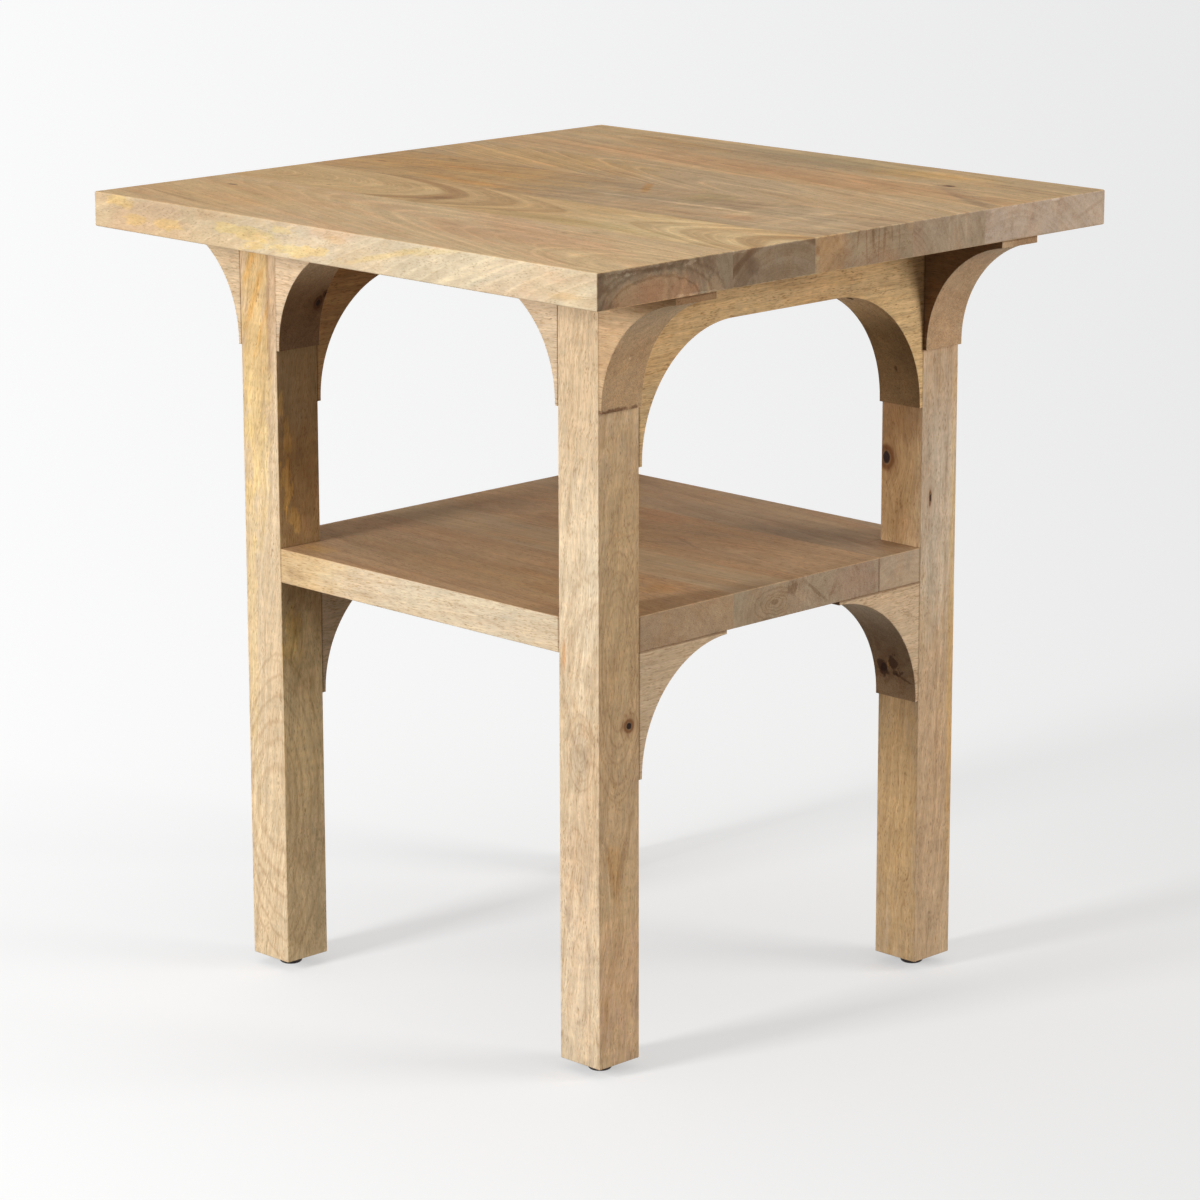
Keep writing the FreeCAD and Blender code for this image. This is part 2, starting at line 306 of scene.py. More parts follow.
def wood_group():
    """Planed wood from its place in the tree: growth rings, streaks, curl, fibres and pores."""
    g, entry, end = new_group("Wood", {
        "Place": ORIGIN, "Radius": 0.0, "Body": (0.6, 0.4, 0.25, 1.0),
        "Second": (0.92, 0.94, 0.98, 1.0), "Second Amount": 0.8, "Third Amount": 0.7,
        "Ring Size": 5.0, "Rings": 0.8, "Ring Tint": (0.80, 0.73, 0.65, 1.0),
        "Lines": 0.7, "Streaks": 0.6, "Clouds": 0.35, "Curls": 0.15,
        "Pores": 0.5, "Fibres": 0.5, "Flecks": 0.35,
        "End": 0.0, "End Tint": (0.78, 0.73, 0.71, 1.0), "Arris": 0.0},
        {"Colour": 4, "Roughness": 1, "Height": 1})
    place = entry["Place"]
    radius = entry["Radius"]

    size = entry["Ring Size"]
    uneven = g.math("SUBTRACT", g.noise_line(radius, g.product(size, 2.5), 1.0), 0.5)
    phase = g.math("DIVIDE", g.math("MULTIPLY_ADD", uneven, g.product(size, 2.4), radius), size)
    saw = g.math("FRACT", phase)
    late = g.product(g.fade(saw, 0.05, 0.80), g.fade(saw, 1.0, 0.84))
    edge = g.fade(g.math("SUBTRACT", 0.5, g.math("ABSOLUTE", g.math("SUBTRACT", saw, 0.5))), 0.16, 0.0)
    year = g.node("ShaderNodeTexWhiteNoise", {"W": g.math("FLOOR", phase)}, noise_dimensions="1D")
    come_and_go = g.fade(g.noise(place, (130, 20, 20), 2, 0.5), 0.32, 0.60)
    vigour = g.product(g.math("MULTIPLY_ADD", year.outputs["Value"], 0.6, 0.4),
                       g.math("MULTIPLY_ADD", come_and_go, 0.6, 0.4))
    zones = g.fade(g.noise_line(radius, g.product(size, 6.0), 2.0), 0.44, 0.62)
    inside = g.math("MULTIPLY_ADD", entry["End"], -0.9, 1.0)

    streaks = g.noise(place, (144, 9, 9), 4, 0.62)
    second = g.fade(g.noise(place, (150, 30, 30), 3, 0.55), 0.44, 0.62)
    third = g.fade(g.noise(g.vector("ADD", place, THIRD_STEP), (110, 22, 22), 3, 0.55), 0.46, 0.64)
    cloud = g.noise(place, (34, 15, 15), 3, 0.6)
    curl = g.noise(place, (7, 26, 26), 2, 0.5)
    fibre = g.noise(place, (24, 0.9, 0.9), 2, 0.6)
    strand = g.noise(place, (60, 2.8, 2.8), 2, 0.6)
    both = g.math("ADD", g.product(fibre, 0.5), g.product(strand, 0.5))
    fleck = g.noise(place, (9, 1.0, 1.0), 2, 0.6)

    pore_cell = g.node("ShaderNodeTexVoronoi", {
        "Vector": g.vector("DIVIDE", place, (6.0, 1.2, 1.2)), "Scale": 1.0, "Randomness": 1.0},
        feature="F1", distance="EUCLIDEAN")
    pore_depth = g.fade(pore_cell.outputs["Distance"], 0.38, 0.14)
    gather = g.fade(g.noise(place, (40, 6, 6), 3, 0.6), 0.44, 0.62)
    pore = g.product(pore_depth, g.math("MULTIPLY_ADD", gather, 0.85, 0.15))
    pore_share = g.math("MULTIPLY", pore, entry["Pores"], clamp=True)

    def uneven_by(noise, amount):
        """Noise as a factor round 1."""
        return g.math("MULTIPLY_ADD", g.math("SUBTRACT", noise, 0.5), entry[amount], 1.0)

    colour = entry["Body"]
    for share, factor in (
            (g.product(second, entry["Second Amount"]), entry["Second"]),
            (g.product(third, entry["Third Amount"]), tint(1.0, 0.93, 0.88)),
            (g.product(late, vigour, entry["Rings"]), entry["Ring Tint"]),
            (g.product(zones, entry["Rings"], 0.55), entry["Ring Tint"]),
            (g.product(edge, vigour, entry["Lines"], inside), tint(1.30, 1.30, 1.24)),
            (g.product(g.fade(streaks, 0.50, 0.68), entry["Streaks"]), tint(0.80, 0.74, 0.68)),
            (g.product(g.fade(streaks, 0.46, 0.30), entry["Streaks"], 0.5), tint(1.12, 1.12, 1.08)),
            (1.0, uneven_by(cloud, "Clouds")),
            (1.0, uneven_by(curl, "Curls")),
            (1.0, uneven_by(both, "Fibres")),
            (g.product(g.fade(fleck, 0.55, 0.66), entry["Flecks"]), tint(0.72, 0.60, 0.46)),
            (g.product(g.fade(fleck, 0.45, 0.34), entry["Flecks"]), tint(1.15, 1.15, 1.08)),
            (entry["End"], entry["End Tint"]),
            (pore_share, tint(0.46, 0.36, 0.28))):
        colour = g.times(colour, share, factor)
    # Lighter along the arrises: partly wear, partly a painted highlight where the rounded edges catch the
    # light.
    edge_wear_and_highlight = g.product(entry["Arris"], g.fade(g.noise(place, (16, 5, 5), 3, 0.6), 0.36, 0.62), 0.45)
    colour = g.mix(edge_wear_and_highlight, colour, g.times(entry["Body"], 1.0, tint(1.10, 1.10, 1.10)))
    g.put(end["Colour"], colour)

    smooth = g.math("MULTIPLY_ADD", both, 0.18, 0.50)
    g.put(end["Roughness"], g.math("MULTIPLY_ADD", pore_share, 0.25, smooth, clamp=True))
    fine = g.product(both, 0.35)
    g.put(end["Height"], g.math("MULTIPLY_ADD", pore_depth, -0.65, fine))
    return g.tree


def patch_group():
    """How much a point lies in a turned, ragged patch, 0 to 1."""
    g, entry, end = new_group("Patch", {
        "Place": ORIGIN, "Rag": ORIGIN, "Centre": ORIGIN,
        "Turn": ORIGIN, "Size": (10.0, 10.0, 10.0), "Blend": (1.0, 0.0, 0.0),
        "Ragged": 0.5, "Soft": 0.4},
        {"Mask": 1})
    out = g.vector("SUBTRACT", entry["Place"], entry["Centre"])
    turned = g.node("ShaderNodeVectorRotate", {"Vector": out, "Rotation": entry["Turn"]},
                    rotation_type="EULER_XYZ", invert=True).outputs["Vector"]
    reach = g.vector("LENGTH", g.vector("DIVIDE", turned, entry["Size"]))
    rough = g.vector("DOT_PRODUCT", entry["Rag"], entry["Blend"])
    reach = g.math("MULTIPLY_ADD", rough, g.product(entry["Ragged"], 3.0), reach)
    outside = g.math("ADD", 1.0, entry["Soft"])
    g.put(end["Mask"], g.fade(reach, outside, g.math("SUBTRACT", 1.0, entry["Soft"])))
    return g.tree


def arc_group():
    """How much a point lies on the line of an oval, 0 to 1."""
    g, entry, end = new_group("Arc", {
        "Place": ORIGIN, "Rag": ORIGIN, "Centre": ORIGIN,
        "Size": (10.0, 10.0, 10.0), "Width": 2.0},
        {"Mask": 1})
    out = g.vector("SUBTRACT", entry["Place"], entry["Centre"])
    out = g.vector("ADD", out, g.vector("SCALE", entry["Rag"], scale=7.0))
    reach = g.vector("LENGTH", g.vector("DIVIDE", out, entry["Size"]))
    span = g.math("DIVIDE", g.vector("LENGTH", out), g.math("MAXIMUM", reach, 0.01))
    aside = g.product(g.math("ABSOLUTE", g.math("SUBTRACT", reach, 1.0)), span)
    g.put(end["Mask"], g.fade(aside, entry["Width"], 0.0))
    return g.tree


def knot_group():
    """A knot: dark heart, rim and shaded surround. It pushes the grain round itself."""
    g, entry, end = new_group("Knot", {
        "Place": ORIGIN, "Centre": ORIGIN, "Size": (4.0, 4.0, 4.0)},
        {"Heart": 1, "Rim": 1, "Shade": 1, "Push": 3})
    offset = g.vector("SUBTRACT", entry["Place"], entry["Centre"])
    wobble = g.vector("SUBTRACT", g.noise(entry["Place"], (5, 5, 5), 2, 0.5, "Color"), HALF)
    out = g.vector("DIVIDE", g.vector("ADD", offset, g.vector("SCALE", wobble, scale=1.8)), entry["Size"])
    reach = g.vector("LENGTH", out)
    g.put(end["Heart"], g.fade(reach, 0.78, 0.40))
    g.put(end["Rim"], g.product(g.fade(reach, 0.55, 0.75), g.fade(reach, 1.40, 0.95)))
    g.put(end["Shade"], g.fade(reach, 2.8, 0.9))
    fall = g.math("POWER", math.e, g.product(reach, reach, -0.11))
    g.put(end["Push"], g.vector("SCALE", offset, scale=g.product(fall, -0.75)))
    return g.tree


GRAIN = grain_group()
SWAY = sway_group()
WOOD = wood_group()
PATCH = patch_group()
ARC = arc_group()
KNOT = knot_group()


def patch(paint, at, size, amount=0.7, ragged=0.5, soft=0.5, turn=0.0, face=""):
    """A place where the wood has another colour. It may be kept to one face and turned in it, in degrees."""
    return {"paint": paint, "at": at, "size": size, "amount": amount, "ragged": ragged, "soft": soft,
            "turn": turn, "face": face}


def on_face(face, level):
    """What makes patches for one flat face out of rows of paint, place, size, amount, ragged, soft and turn.
    The place and the size are two numbers each, in the face's own axes."""
    axis = "xyz".index(face[1])

    def mark(paint, a, b, wide, high, amount=0.7, ragged=0.5, soft=0.5, turn=0.0):
        at = [a, b]
        size = [wide, high]
        at.insert(axis, level)
        size.insert(axis, FACE_DEPTH)
        return patch(paint, tuple(at), tuple(size), amount, ragged, soft, turn, face)
    return lambda *rows: tuple(mark(*row) for row in rows)


def shaded_seam(at, size, amount=0.6):
    """The dark line where two pieces meet, with painted contact shade along the joint."""
    return patch(SEAM_AND_SHADE, at, size, amount, 0.12, 0.4)


def arc(paint, at, size, width, amount=0.7, face=""):
    """A line of another colour round an oval. It may be kept to one face."""
    return {"paint": paint, "at": at, "size": size, "width": width, "amount": amount, "face": face}


def face_share(g, normal, face):
    """How much a point lies on the face that looks along an axis, such as "+x"."""
    sign = -1.0 if face[0] == "-" else 1.0
    facing = g.vector("DOT_PRODUCT", normal, tuple(sign * share for share in AXES[face[1]]))
    return g.fade(facing, 0.45, 0.85)


def lay(g, colour, mask, normal, item):
    """The colour with a mark's paint over it, on the mark's own face if it has one."""
    if item["face"]:
        mask = g.product(mask, face_share(g, normal, item["face"]))
    return g.times(colour, g.product(mask, item["amount"]), item["paint"])


def add_bands(g, colour, radius, bands):
    """Growth rings of another colour, between two distances from the pith."""
    for paint, low, high, amount, soft in bands:
        mask = g.product(g.fade(radius, low - soft, low + soft), g.fade(radius, high + soft, high - soft))
        colour = g.times(colour, g.product(mask, amount), paint)
    return colour


def add_arcs(g, colour, place, rag, normal, arcs):
    for item in arcs:
        mask = g.use(ARC, {"Place": place, "Rag": rag, "Centre": item["at"], "Size": item["size"],
                           "Width": item["width"]})["Mask"]
        colour = lay(g, colour, mask, normal, item)
    return colour


def add_patches(g, colour, place, rag, normal, patches):
    """The colour with each patch's colour over it."""
    first, second = BLEND_TURNS
    for number, item in enumerate(patches):
        turn = math.radians(item["turn"])
        axis = AXES[item["face"][1:] or "z"]
        mask = g.use(PATCH, {
            "Place": place, "Rag": rag, "Centre": item["at"], "Turn": tuple(turn * share for share in axis),
            "Size": item["size"], "Ragged": item["ragged"], "Soft": item["soft"],
            "Blend": (math.cos(first * number), math.sin(first * number), math.cos(second * number))})["Mask"]
        colour = lay(g, colour, mask, normal, item)
    return colour


def wood_material(name, along, middle, body, seed, tilt=(0.0, 0.0), bow=(0.0, 0.0), bow_reach=STRAIGHT,
                  sway=8.0, ripple=1.4, bands=(), arcs=(), patches=(), knots=(), faces=None,
                  arris="box", **figure):
    """Planed, lightly oiled wood sawn along an axis, with the pith at middle. A knot is (centre, size).
    The faces may differ in colour, as the heart and the sap side of a board do; on some pieces a face's
    factor also holds painted shade, where little light reaches that face."""
    material, g, place = new_material(name)
    normal = g.node("ShaderNodeTexCoord").outputs["Normal"]
    across, through = OTHER_AXES[along]

    bent = place
    marks = []
    for centre, size in knots:
        mark = g.use(KNOT, {"Place": place, "Centre": centre, "Size": size})
        bent = g.vector("ADD", bent, mark["Push"])
        marks.append(mark)
    grain = g.use(GRAIN, {
        "Place": bent, "Middle": middle, "Along": AXES[along], "Across": AXES[across],
        "Through": AXES[through], "Tilt": (0.0, *tilt), "Bow": (0.0, *bow), "Bow Reach": bow_reach})["Grain"]
    swayed = g.use(SWAY, {"Grain": grain, "Seed": seed, "Sway": sway, "Ripple": ripple})
    rag = g.vector("SUBTRACT", g.noise(swayed["Place"], (26, 8, 8), 4, 0.6, "Color"), HALF)
    colour = body
    for face, factor in (faces or {}).items():
        colour = g.times(colour, face_share(g, normal, face), tint(*factor))
    colour = add_bands(g, colour, swayed["Radius"], bands)
    colour = add_arcs(g, colour, place, rag, normal, arcs)
    colour = add_patches(g, colour, place, rag, normal, patches)
    for mark in marks:
        colour = g.times(colour, g.product(mark["Shade"], 0.45), KNOT_SHADE)

    facing = g.vector("ABSOLUTE", normal)
    end_share = g.fade(g.vector("DOT_PRODUCT", facing, AXES[along]), 0.55, 0.95)
    parts = g.split(facing)
    if arris == "box":
        largest = g.math("MAXIMUM", parts["X"], g.math("MAXIMUM", parts["Y"], parts["Z"]))
        edge_share = g.fade(largest, 0.995, 0.93)
    else:
        side = parts[arris.upper()]
        edge_share = g.product(g.fade(side, 0.06, 0.25), g.fade(side, 0.995, 0.93))
    inputs = {"Place": swayed["Place"], "Radius": swayed["Radius"], "Body": colour,
              "End": end_share, "Arris": edge_share}
    inputs.update({title.replace("_", " ").title(): value for title, value in figure.items()})
    wood = g.use(WOOD, inputs)

    colour = wood["Colour"]
    height = wood["Height"]
    for mark in marks:
        colour = g.times(colour, mark["Rim"], KNOT_RIM)
        colour = g.mix(mark["Heart"], colour, KNOT_HEART)
        height = g.math("MULTIPLY_ADD", mark["Heart"], -2.5, height)
    cover(g, height, 0.5, WOOD_RELIEF, {
        "Base Color": colour, "Roughness": wood["Roughness"],
        "Specular IOR Level": WOOD_SPECULAR, "IOR": WOOD_IOR})
    return material


def dress(node, material):
    """Gives a CAD node one material."""
    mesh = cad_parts[node].data
    mesh.materials.clear()
    mesh.materials.append(material)


# What a patch multiplies the wood's colour by

PALER = tint(1.16, 1.17, 1.15)
SUNNY = tint(1.10, 1.06, 0.82)
CREAMY = tint(1.02, 1.16, 1.38)
GOLDEN = tint(1.08, 0.98, 0.74)
AMBER = tint(1.02, 0.82, 0.52)
RUDDY = tint(0.98, 0.83, 0.77)
PINKISH = tint(1.00, 0.92, 0.92)
OLIVE = tint(0.86, 0.88, 0.78)
GREYED = tint(0.80, 0.83, 0.88)
BROWNED = tint(0.76, 0.68, 0.62)
UMBER = tint(0.58, 0.49, 0.42)
INKY = tint(0.34, 0.27, 0.24)
# Painted contact shade along joints, over the dark joint line.
SEAM_AND_SHADE = tint(0.40, 0.31, 0.25)
CHALKY = tint(1.75, 1.95, 2.20)
GILT = tint(1.55, 1.46, 1.05)
CHESTNUT = tint(1.50, 1.34, 1.20)


# The wood of the top's boards, front to back

upper = on_face("+z", TOP_FACE)
front = on_face("-y", -TOP_EDGE)
end = on_face("+x", TOP_EDGE)

TOP_BOARD_1 = dict(
    faces={"+z": (0.93, 0.91, 0.88), "-y": (0.88, 0.88, 0.89), "+x": (0.88, 0.89, 0.88)},
    middle=(-30, -200, 615), tilt=(-0.19, 0.10), body=tone(226, 195, 150), seed=1.0,
    sway=5.0, ripple=1.0, ring_size=6.0, rings=0.35, lines=0.35, streaks=0.35,
    second=PINKISH, end_tint=tint(0.48, 0.48, 0.54),
    bands=(
        (PALER, 74.2, 75.6, 1.0, 0.7),
        (PALER, 80.6, 82.2, 0.8, 0.9),
        (PALER, 70.0, 70.8, 0.4, 0.6),
        (PALER, 64.0, 65.0, 0.35, 0.8),
        (BROWNED, 76.0, 80.0, 0.16, 1.5)),
    arcs=(
        arc(PALER, (300, -253, TOP_FACE), (110, 44, 60), 5.0, 0.9),
        arc(BROWNED, (300, -253, TOP_FACE), (98, 40, 60), 5.0, 0.35),
        arc(PALER, (302, -255, TOP_FACE), (72, 36, 60), 5.0, 0.7),
        arc(BROWNED, (302, -255, TOP_FACE), (60, 31, 60), 5.0, 0.35),
        arc(PALER, (304, -257, TOP_FACE), (48, 27, 60), 4.0, 0.6),
        arc(UMBER, (TOP_EDGE, -243, 658), (60, 50, 22), 2.4, 0.6, "+x"),
        arc(UMBER, (TOP_EDGE, -240, 658), (60, 62, 28), 3.0, 0.5, "+x"),
        arc(BROWNED, (TOP_EDGE, -237, 658), (60, 72, 33), 3.0, 0.6, "+x"),
        arc(BROWNED, (TOP_EDGE, -246, 658), (60, 40, 15), 1.4, 0.3, "+x"),
        arc(BROWNED, (TOP_EDGE, -248, 658), (60, 30, 9), 1.2, 0.3, "+x")),
    patches=upper(
        (PINKISH, 110, -215, 105, 40, 0.6),
    ) + front(
        (CREAMY, 170, 675, 220, 40, 1.0, 0.3),
        (PALER, 250, 675, 90, 40, 0.5, 0.3),
        (CREAMY, -200, 675, 180, 40, 0.35, 0.6),
    ) + upper(
        (PALER, 255, -250, 80, 60, 0.6, 0.5, 0.7),
        (GOLDEN, -210, -230, 110, 60, 0.45, 0.5, 0.7),
        (INKY, -252, -196, 6, 2.2, 0.8, 0.2),
        (BROWNED, -225, -274, 80, 2.4, 0.6, 0.35, 0.5, -12),
        (UMBER, 147, -185, 3.5, 1.7, 0.8, 0.2),
        (UMBER, 165, -168, 3.5, 1.7, 0.8, 0.2),
    ) + front(
        (SUNNY, -272, 685, 18, 5, 1.0, 0.8, 0.25, 6),
        (SUNNY, -252, 672, 14, 4.5, 1.0, 0.8, 0.25, 4),
        (SUNNY, -210, 672, 20, 5.5, 1.0, 0.9, 0.25),
        (SUNNY, -62, 683, 14, 3.5, 0.9, 0.8, 0.25),
        (SUNNY, -105, 676, 40, 5, 1.0, 1.0, 0.25, 3),
        (SUNNY, -48, 668, 46, 4.5, 1.0, 1.0, 0.25, -2),
        (AMBER, 5, 682, 11, 3.5, 0.35),
        (SUNNY, 66, 676, 50, 2.2, 0.8, 0.5, 0.5, -13),
        (SUNNY, 125, 686, 34, 2.0, 0.6, 0.5, 0.5, -8),
        (PALER, 165, 674, 42, 1.6, 0.8, 0.4, 0.5, -18),
        (GREYED, 175, 668, 42, 1.6, 0.5, 0.4, 0.5, -18),
        (AMBER, 270, 668, 16, 2.5, 0.35, 0.6, 0.5, -4),
        (GREYED, -180, 682, 120, 10, 0.65, 0.8),
    ) + upper(
        (BROWNED, -235, -230, 80, 60, 0.2, 0.6, 0.7),
    ) + front(
        (BROWNED, -150, 684, 40, 4, 0.30, 0.8),
    ) + end(
        (CHESTNUT, -243, 660, 48, 21, 0.95, 0.25, 0.15),
        (RUDDY, -243, 664, 40, 14, 0.5, 0.5, 0.4),
        (UMBER, -252, 689, 46, 4.5, 0.7, 0.9, 0.4),
        (UMBER, -303, 684, 9, 12, 0.7, 0.8, 0.4),
        (UMBER, -300, 662, 14, 4, 0.5, 0.8, 0.4),
        (UMBER, -186, 684, 14, 9, 0.55, 0.9, 0.5, -20),
        (CHESTNUT, -178, 664, 9, 8, 0.5, 0.8, 0.5, -30),
        (CHALKY, -262, 688.5, 30, 1.0, 0.55, 1.6, 0.3),
        (CHALKY, -272, 685, 10, 1.2, 0.5, 1.6, 0.3),
        (CHALKY, -205, 686, 8, 1.0, 0.45, 1.8, 0.3, 8),
        (CHALKY, -200, 661.5, 26, 0.9, 0.5, 1.3, 0.3)))

TOP_BOARD_2 = dict(
    faces={"+z": (0.90, 0.90, 0.91), "+x": (0.96, 1.02, 1.23)},
    middle=(105, -106, 590), tilt=(0.04, 0.0), bow=(0.0, 0.00075), bow_reach=400.0,
    body=tone(230, 193, 138), seed=2.0, sway=2.2, ripple=0.7,
    ring_size=1.8, rings=0.6, lines=0.45, streaks=0.3,
    ring_tint=tint(0.80, 0.72, 0.62), second=BROWNED, second_amount=0.2,
    end_tint=tint(0.44, 0.44, 0.48),
    bands=(
        (BROWNED, 79.0, 84.2, 1.0, 1.2),
        (BROWNED, 88.0, 93.8, 0.60, 1.4),
        (PALER, 94.2, 95.6, 0.8, 0.7),
        (BROWNED, 96.2, 99.4, 0.50, 0.8),
        (PALER, 99.8, 100.8, 0.5, 0.6),
        (PALER, 84.8, 86.6, 0.35, 0.8)),
    patches=upper(
        (OLIVE, 110, -137, 110, 12, 0.5),
        (PALER, 220, -110, 100, 60, 1.0, 0.5, 0.6),
        (CREAMY, 220, -110, 100, 60, 0.55, 0.5, 0.6),
    ) + end(
        (UMBER, -132, 676, 7, 9, 0.6, 0.9),
        (BROWNED, -105, 668, 26, 5, 0.5, 0.9),
        (BROWNED, -85, 684, 22, 4, 0.5, 0.9),
    ) + upper(
        (BROWNED, -30, -105, 42, 22, 0.35, 0.5, 0.6),
        (UMBER, -66, -132, 10, 17, 0.6, 0.5, 0.6, -12),
        (PALER, -112, -95, 14, 9, 0.9, 0.6, 0.6),
        (PALER, 190, -75, 130, 9, 0.8, 0.5, 0.6),
        (UMBER, -190, -140, 3.5, 1.7, 0.8, 0.2),
        (BROWNED, 0, -62, 300, 1.6, 0.6, 0.4),
    ) + end(
        (UMBER, -145, 675, 10, 20, 0.6, 0.8),
        (CHALKY, -150, 688.5, 9, 1.0, 0.5, 1.4, 0.3)))

TOP_BOARD_3 = dict(
    faces={"+z": (0.90, 0.91, 0.92), "+x": (1.13, 1.26, 1.38)},
    middle=(0, 10, 570), tilt=(0.10, 0.05), body=tone(214, 178, 133), seed=3.0,
    ring_size=6.0, rings=0.5, lines=0.5, streaks=0.8, curls=0.35,
    pores=0.6, second=GREYED, second_amount=0.6, end_tint=tint(0.52, 0.50, 0.52),
    patches=upper(
        (GOLDEN, -190, 0, 150, 70, 1.0, 0.5, 0.6),
        (BROWNED, -190, 10, 150, 60, 0.30, 0.8, 0.6),
        (AMBER, -100, -45, 60, 9, 0.7, 0.6, 0.6, -4),
        (AMBER, -150, 10, 70, 6, 0.4, 0.8, 0.6, -6),
        (GREYED, 20, 12, 100, 42, 0.55, 0.6, 0.6),
        (BROWNED, 20, 12, 100, 42, 0.20, 0.6, 0.6),
        (OLIVE, 98, 34, 20, 28, 0.9, 0.6),
        (AMBER, 16, 42, 30, 4, 0.9, 0.5, 0.5, -52),
        (RUDDY, 190, -30, 16, 12, 0.8),
        (PALER, 245, 0, 75, 60, 0.5, 0.5, 0.6),
        (CREAMY, 245, 0, 75, 60, 0.3, 0.5, 0.6),
        (PALER, 175, 5, 8, 50, 0.7, 0.7, 0.5, 8),
        (PALER, 228, -5, 7, 50, 0.7, 0.7, 0.5, 6),
        (PALER, 272, 5, 9, 50, 0.7, 0.7, 0.5, 10),
        (CHALKY, 80, -6, 80, 3, 0.4, 1.3, 0.3, 2),
        (UMBER, -230, 43, 6, 2.0, 0.9, 0.2),
        (UMBER, -268, -8, 6, 2.0, 0.9, 0.2),
    ) + end(
        (RUDDY, -42, 675, 19, 30, 0.9, 0.5, 0.4),
        (PALER, -42, 675, 19, 30, 1.0, 0.5, 0.4),
        (SUNNY, -44, 675, 17, 30, 0.5, 0.5, 0.4),
        (BROWNED, -10, 684, 1.2, 9, 0.8, 0.5, 0.5, -8),
        (BROWNED, 0, 680, 1.0, 14, 0.8, 0.5, 0.5, 3),
        (BROWNED, 8, 684, 1.2, 9, 0.9, 0.5, 0.5, 4),
        (BROWNED, 15, 678, 0.9, 16, 0.7, 0.5, 0.5, -2),
        (BROWNED, 22, 682, 1.5, 12, 0.9, 0.5, 0.5, -4),
        (BROWNED, 31, 684, 1.0, 9, 0.7, 0.5, 0.5, 6),
        (BROWNED, 40, 680, 1.2, 12, 0.6),
        (RUDDY, 18, 664, 26, 6, 0.6, 0.6)))

TOP_BOARD_4 = dict(
    faces={"+z": (0.90, 0.90, 0.93), "+x": (0.90, 0.96, 1.13)},
    middle=(-20, 110, 620), tilt=(-0.24, 0.05), body=tone(215, 181, 135), seed=4.0, sway=6.0,
    ring_size=5.0, rings=0.6, lines=1.0, streaks=0.6, curls=0.2,
    second=GREYED, second_amount=0.3, end_tint=tint(0.68, 0.68, 0.72),
    patches=upper(
        (GREYED, 90, 100, 80, 30, 0.3, 0.6, 0.6, -10),
        (PALER, 80, 100, 80, 50, 0.4, 0.6, 0.6),
        (PALER, 225, 100, 100, 50, 0.6, 0.6, 0.6),
        (GOLDEN, -180, 100, 130, 45, 0.8, 0.6, 0.6),
    ) + end(
        (RUDDY, 62, 672, 10, 22, 0.4, 0.7, 0.6),
        (PALER, 102, 675, 1.2, 18, 0.7, 0.7),
        (PALER, 108, 675, 1.0, 16, 0.6, 0.7, 0.5, 2),
        (PALER, 113, 675, 1.2, 18, 0.7, 0.7, 0.5, 5),
        (PALER, 123, 675, 1.2, 18, 0.7, 0.7)))

TOP_BOARD_5 = dict(
    faces={"+z": (0.93, 0.94, 0.99), "+x": (0.85, 0.90, 1.14)},
    middle=(0, 220, 570), tilt=(-0.12, 0.03), body=tone(220, 183, 131), seed=5.0,
    ring_size=7.0, rings=0.5, lines=0.7, streaks=0.7, curls=0.2,
    second=GREYED, second_amount=0.35, end_tint=tint(0.86, 0.92, 1.10),
    knots=(((197, 227, TOP_FACE), (5.5, 3.2, 6)),),
    patches=upper(
        (RUDDY, 0, 188, 290, 32, 0.75, 0.6, 0.6),
        (GREYED, 0, 262, 115, 38, 1.0, 0.6, 0.6),
        (OLIVE, 40, 280, 80, 20, 0.5, 0.6, 0.6),
        (GOLDEN, 135, 262, 60, 18, 0.9, 0.6, 0.6, 12),
        (AMBER, -160, 262, 80, 8, 0.35, 0.8, 0.6, -8),
        (GREYED, 258, 185, 60, 12, 1.0, 0.6, 0.5, -30),
        (BROWNED, 258, 180, 56, 5, 0.6, 0.6, 0.5, -30),
        (GREYED, 270, 270, 50, 30, 0.6, 0.8),
    ) + end(
        (BROWNED, 285, 676, 16, 1.8, 0.5, 0.4, 0.5, 20),
        (CHALKY, 237, 688.5, 5, 0.9, 0.35, 1.4, 0.3),
        (CHALKY, 185, 688.5, 4, 0.9, 0.35, 1.4, 0.3)))


# The wood of the shelf's boards, front to back

upper = on_face("+z", SHELF_FACE)
front = on_face("-y", -LEG_FAR)
end = on_face("+x", LEG_FAR)

SHELF_BOARD_1 = dict(
    faces={"+z": (0.96, 0.94, 0.90), "-y": (1.01, 1.11, 1.22), "+x": (1.20, 1.33, 1.44)},
    middle=(0, -150, 300), tilt=(-0.06, 0.03), body=tone(200, 164, 124), seed=11.0,
    rings=0.35, lines=0.25, streaks=0.45, flecks=0.7,
    end_tint=tint(0.70, 0.66, 0.66),
    patches=upper(
        (OLIVE, 0, -150, 200, 30, 0.45, 0.7, 0.6),
        (SUNNY, -148, -195, 18, 11, 0.8, 0.6),
        (AMBER, 162, -90, 13, 20, 0.45, 0.6, 0.6),
    ) + front(
        (PALER, 0, 369, 210, 30, 1.0, 0.1, 0.3),
        (PALER, 0, 369, 210, 30, 0.6, 0.1, 0.3),
        (CREAMY, 60, 369, 170, 30, 0.9, 0.3, 0.4),
        (SUNNY, -150, 369, 46, 30, 0.4, 0.6, 0.6),
        (BROWNED, -150, 369, 46, 30, 0.25, 0.6, 0.6),
        (BROWNED, -152, 365, 13, 4, 0.5, 0.9, 0.4, 10),
        (BROWNED, -60, 370, 40, 1.5, 0.3, 0.5, 0.5, 9),
        (BROWNED, 80, 368, 46, 1.3, 0.3, 0.5, 0.5, 11)))

